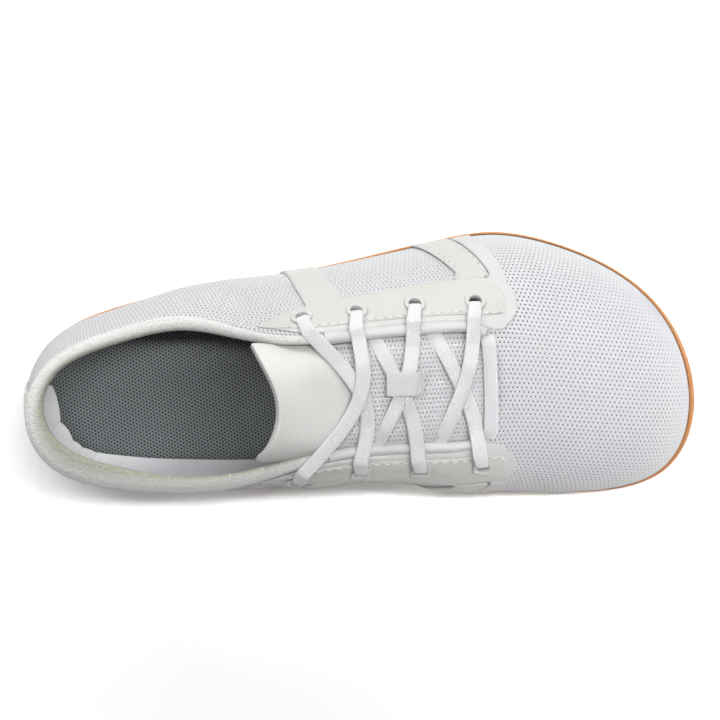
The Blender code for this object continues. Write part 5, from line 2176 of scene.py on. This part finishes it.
class SNEAKER_OT_upper(SneakerOperator, bpy.types.Operator):
    """Knit the upper and line it"""
    bl_idname = "sneaker.upper"
    bl_label = "Upper"
    make = make_upper


class SNEAKER_OT_heel_lining(SneakerOperator, bpy.types.Operator):
    """Hang the scalloped flaps of lining at the heel"""
    bl_idname = "sneaker.heel_lining"
    bl_label = "Heel lining"
    make = make_heel_lining


class SNEAKER_OT_collar(SneakerOperator, bpy.types.Operator):
    """Bind collar and throat"""
    bl_idname = "sneaker.collar"
    bl_label = "Collar"
    make = make_collar


class SNEAKER_OT_tongue(SneakerOperator, bpy.types.Operator):
    """Sew the padded tongue"""
    bl_idname = "sneaker.tongue"
    bl_label = "Tongue"
    make = make_tongue


class SNEAKER_OT_eyestays(SneakerOperator, bpy.types.Operator):
    """Lay the eyestays on"""
    bl_idname = "sneaker.eyestays"
    bl_label = "Eyestays"
    make = make_eyestays


class SNEAKER_OT_bands(SneakerOperator, bpy.types.Operator):
    """Lay the saddles and waist bands on"""
    bl_idname = "sneaker.bands"
    bl_label = "Bands"
    make = make_bands


class SNEAKER_OT_heel_strip(SneakerOperator, bpy.types.Operator):
    """Cover the back seam"""
    bl_idname = "sneaker.heel_strip"
    bl_label = "Heel strip"
    make = make_heel_strip


class SNEAKER_OT_eyelets(SneakerOperator, bpy.types.Operator):
    """Press the eyelets in"""
    bl_idname = "sneaker.eyelets"
    bl_label = "Eyelets"
    make = make_eyelets


class SNEAKER_OT_laces(SneakerOperator, bpy.types.Operator):
    """Thread the lace"""
    bl_idname = "sneaker.laces"
    bl_label = "Laces"
    make = make_laces


class SNEAKER_OT_keeper(SneakerOperator, bpy.types.Operator):
    """Sew the lace keeper on"""
    bl_idname = "sneaker.keeper"
    bl_label = "Keeper"
    make = make_keeper


class SNEAKER_OT_stitches(SneakerOperator, bpy.types.Operator):
    """Stitch the seams"""
    bl_idname = "sneaker.stitches"
    bl_label = "Stitches"
    make = make_stitches


OPERATORS = (
    SNEAKER_OT_stage, SNEAKER_OT_sole, SNEAKER_OT_insole, SNEAKER_OT_upper, SNEAKER_OT_heel_lining,
    SNEAKER_OT_collar, SNEAKER_OT_tongue, SNEAKER_OT_eyestays, SNEAKER_OT_bands, SNEAKER_OT_heel_strip,
    SNEAKER_OT_eyelets, SNEAKER_OT_laces, SNEAKER_OT_keeper, SNEAKER_OT_stitches,
)


class SNEAKER_PT_panel(bpy.types.Panel):
    """Pieces of the sneaker, in the order they are made"""
    bl_idname = "SNEAKER_PT_panel"
    bl_label = "Sneaker"
    bl_space_type = "VIEW_3D"
    bl_region_type = "UI"
    bl_category = "Sneaker"

    def draw(self, context):
        for operator in OPERATORS:
            self.layout.operator(operator.bl_idname)
        scene = context.scene
        for group in (scene.sneaker_sizes, scene.sneaker_colours, scene.sneaker_stage):
            for name in group.__annotations__:
                self.layout.prop(group, name)


CLASSES = (SneakerSizes, SneakerColours, SneakerStage, *OPERATORS, SNEAKER_PT_panel)


def register():
    for kind in CLASSES:
        bpy.utils.register_class(kind)
    bpy.types.Scene.sneaker_sizes = PointerProperty(type=SneakerSizes)
    bpy.types.Scene.sneaker_colours = PointerProperty(type=SneakerColours)
    bpy.types.Scene.sneaker_stage = PointerProperty(type=SneakerStage)


def unregister():
    del bpy.types.Scene.sneaker_stage
    del bpy.types.Scene.sneaker_colours
    del bpy.types.Scene.sneaker_sizes
    for kind in reversed(CLASSES):
        bpy.utils.unregister_class(kind)


def main():
    register()
    for item in list(bpy.data.objects):
        if item.type in {"CAMERA", "LIGHT"}:
            bpy.data.objects.remove(item)
    for operator in OPERATORS:
        name = operator.bl_idname.split(".")[1]
        getattr(bpy.ops.sneaker, name)()
    boxes = {"cad": CAD_BOX, "visual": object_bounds()}
    {name: [list(corner) for corner in box] for name, box in boxes.items()}


if __name__ == "__main__":
    main()
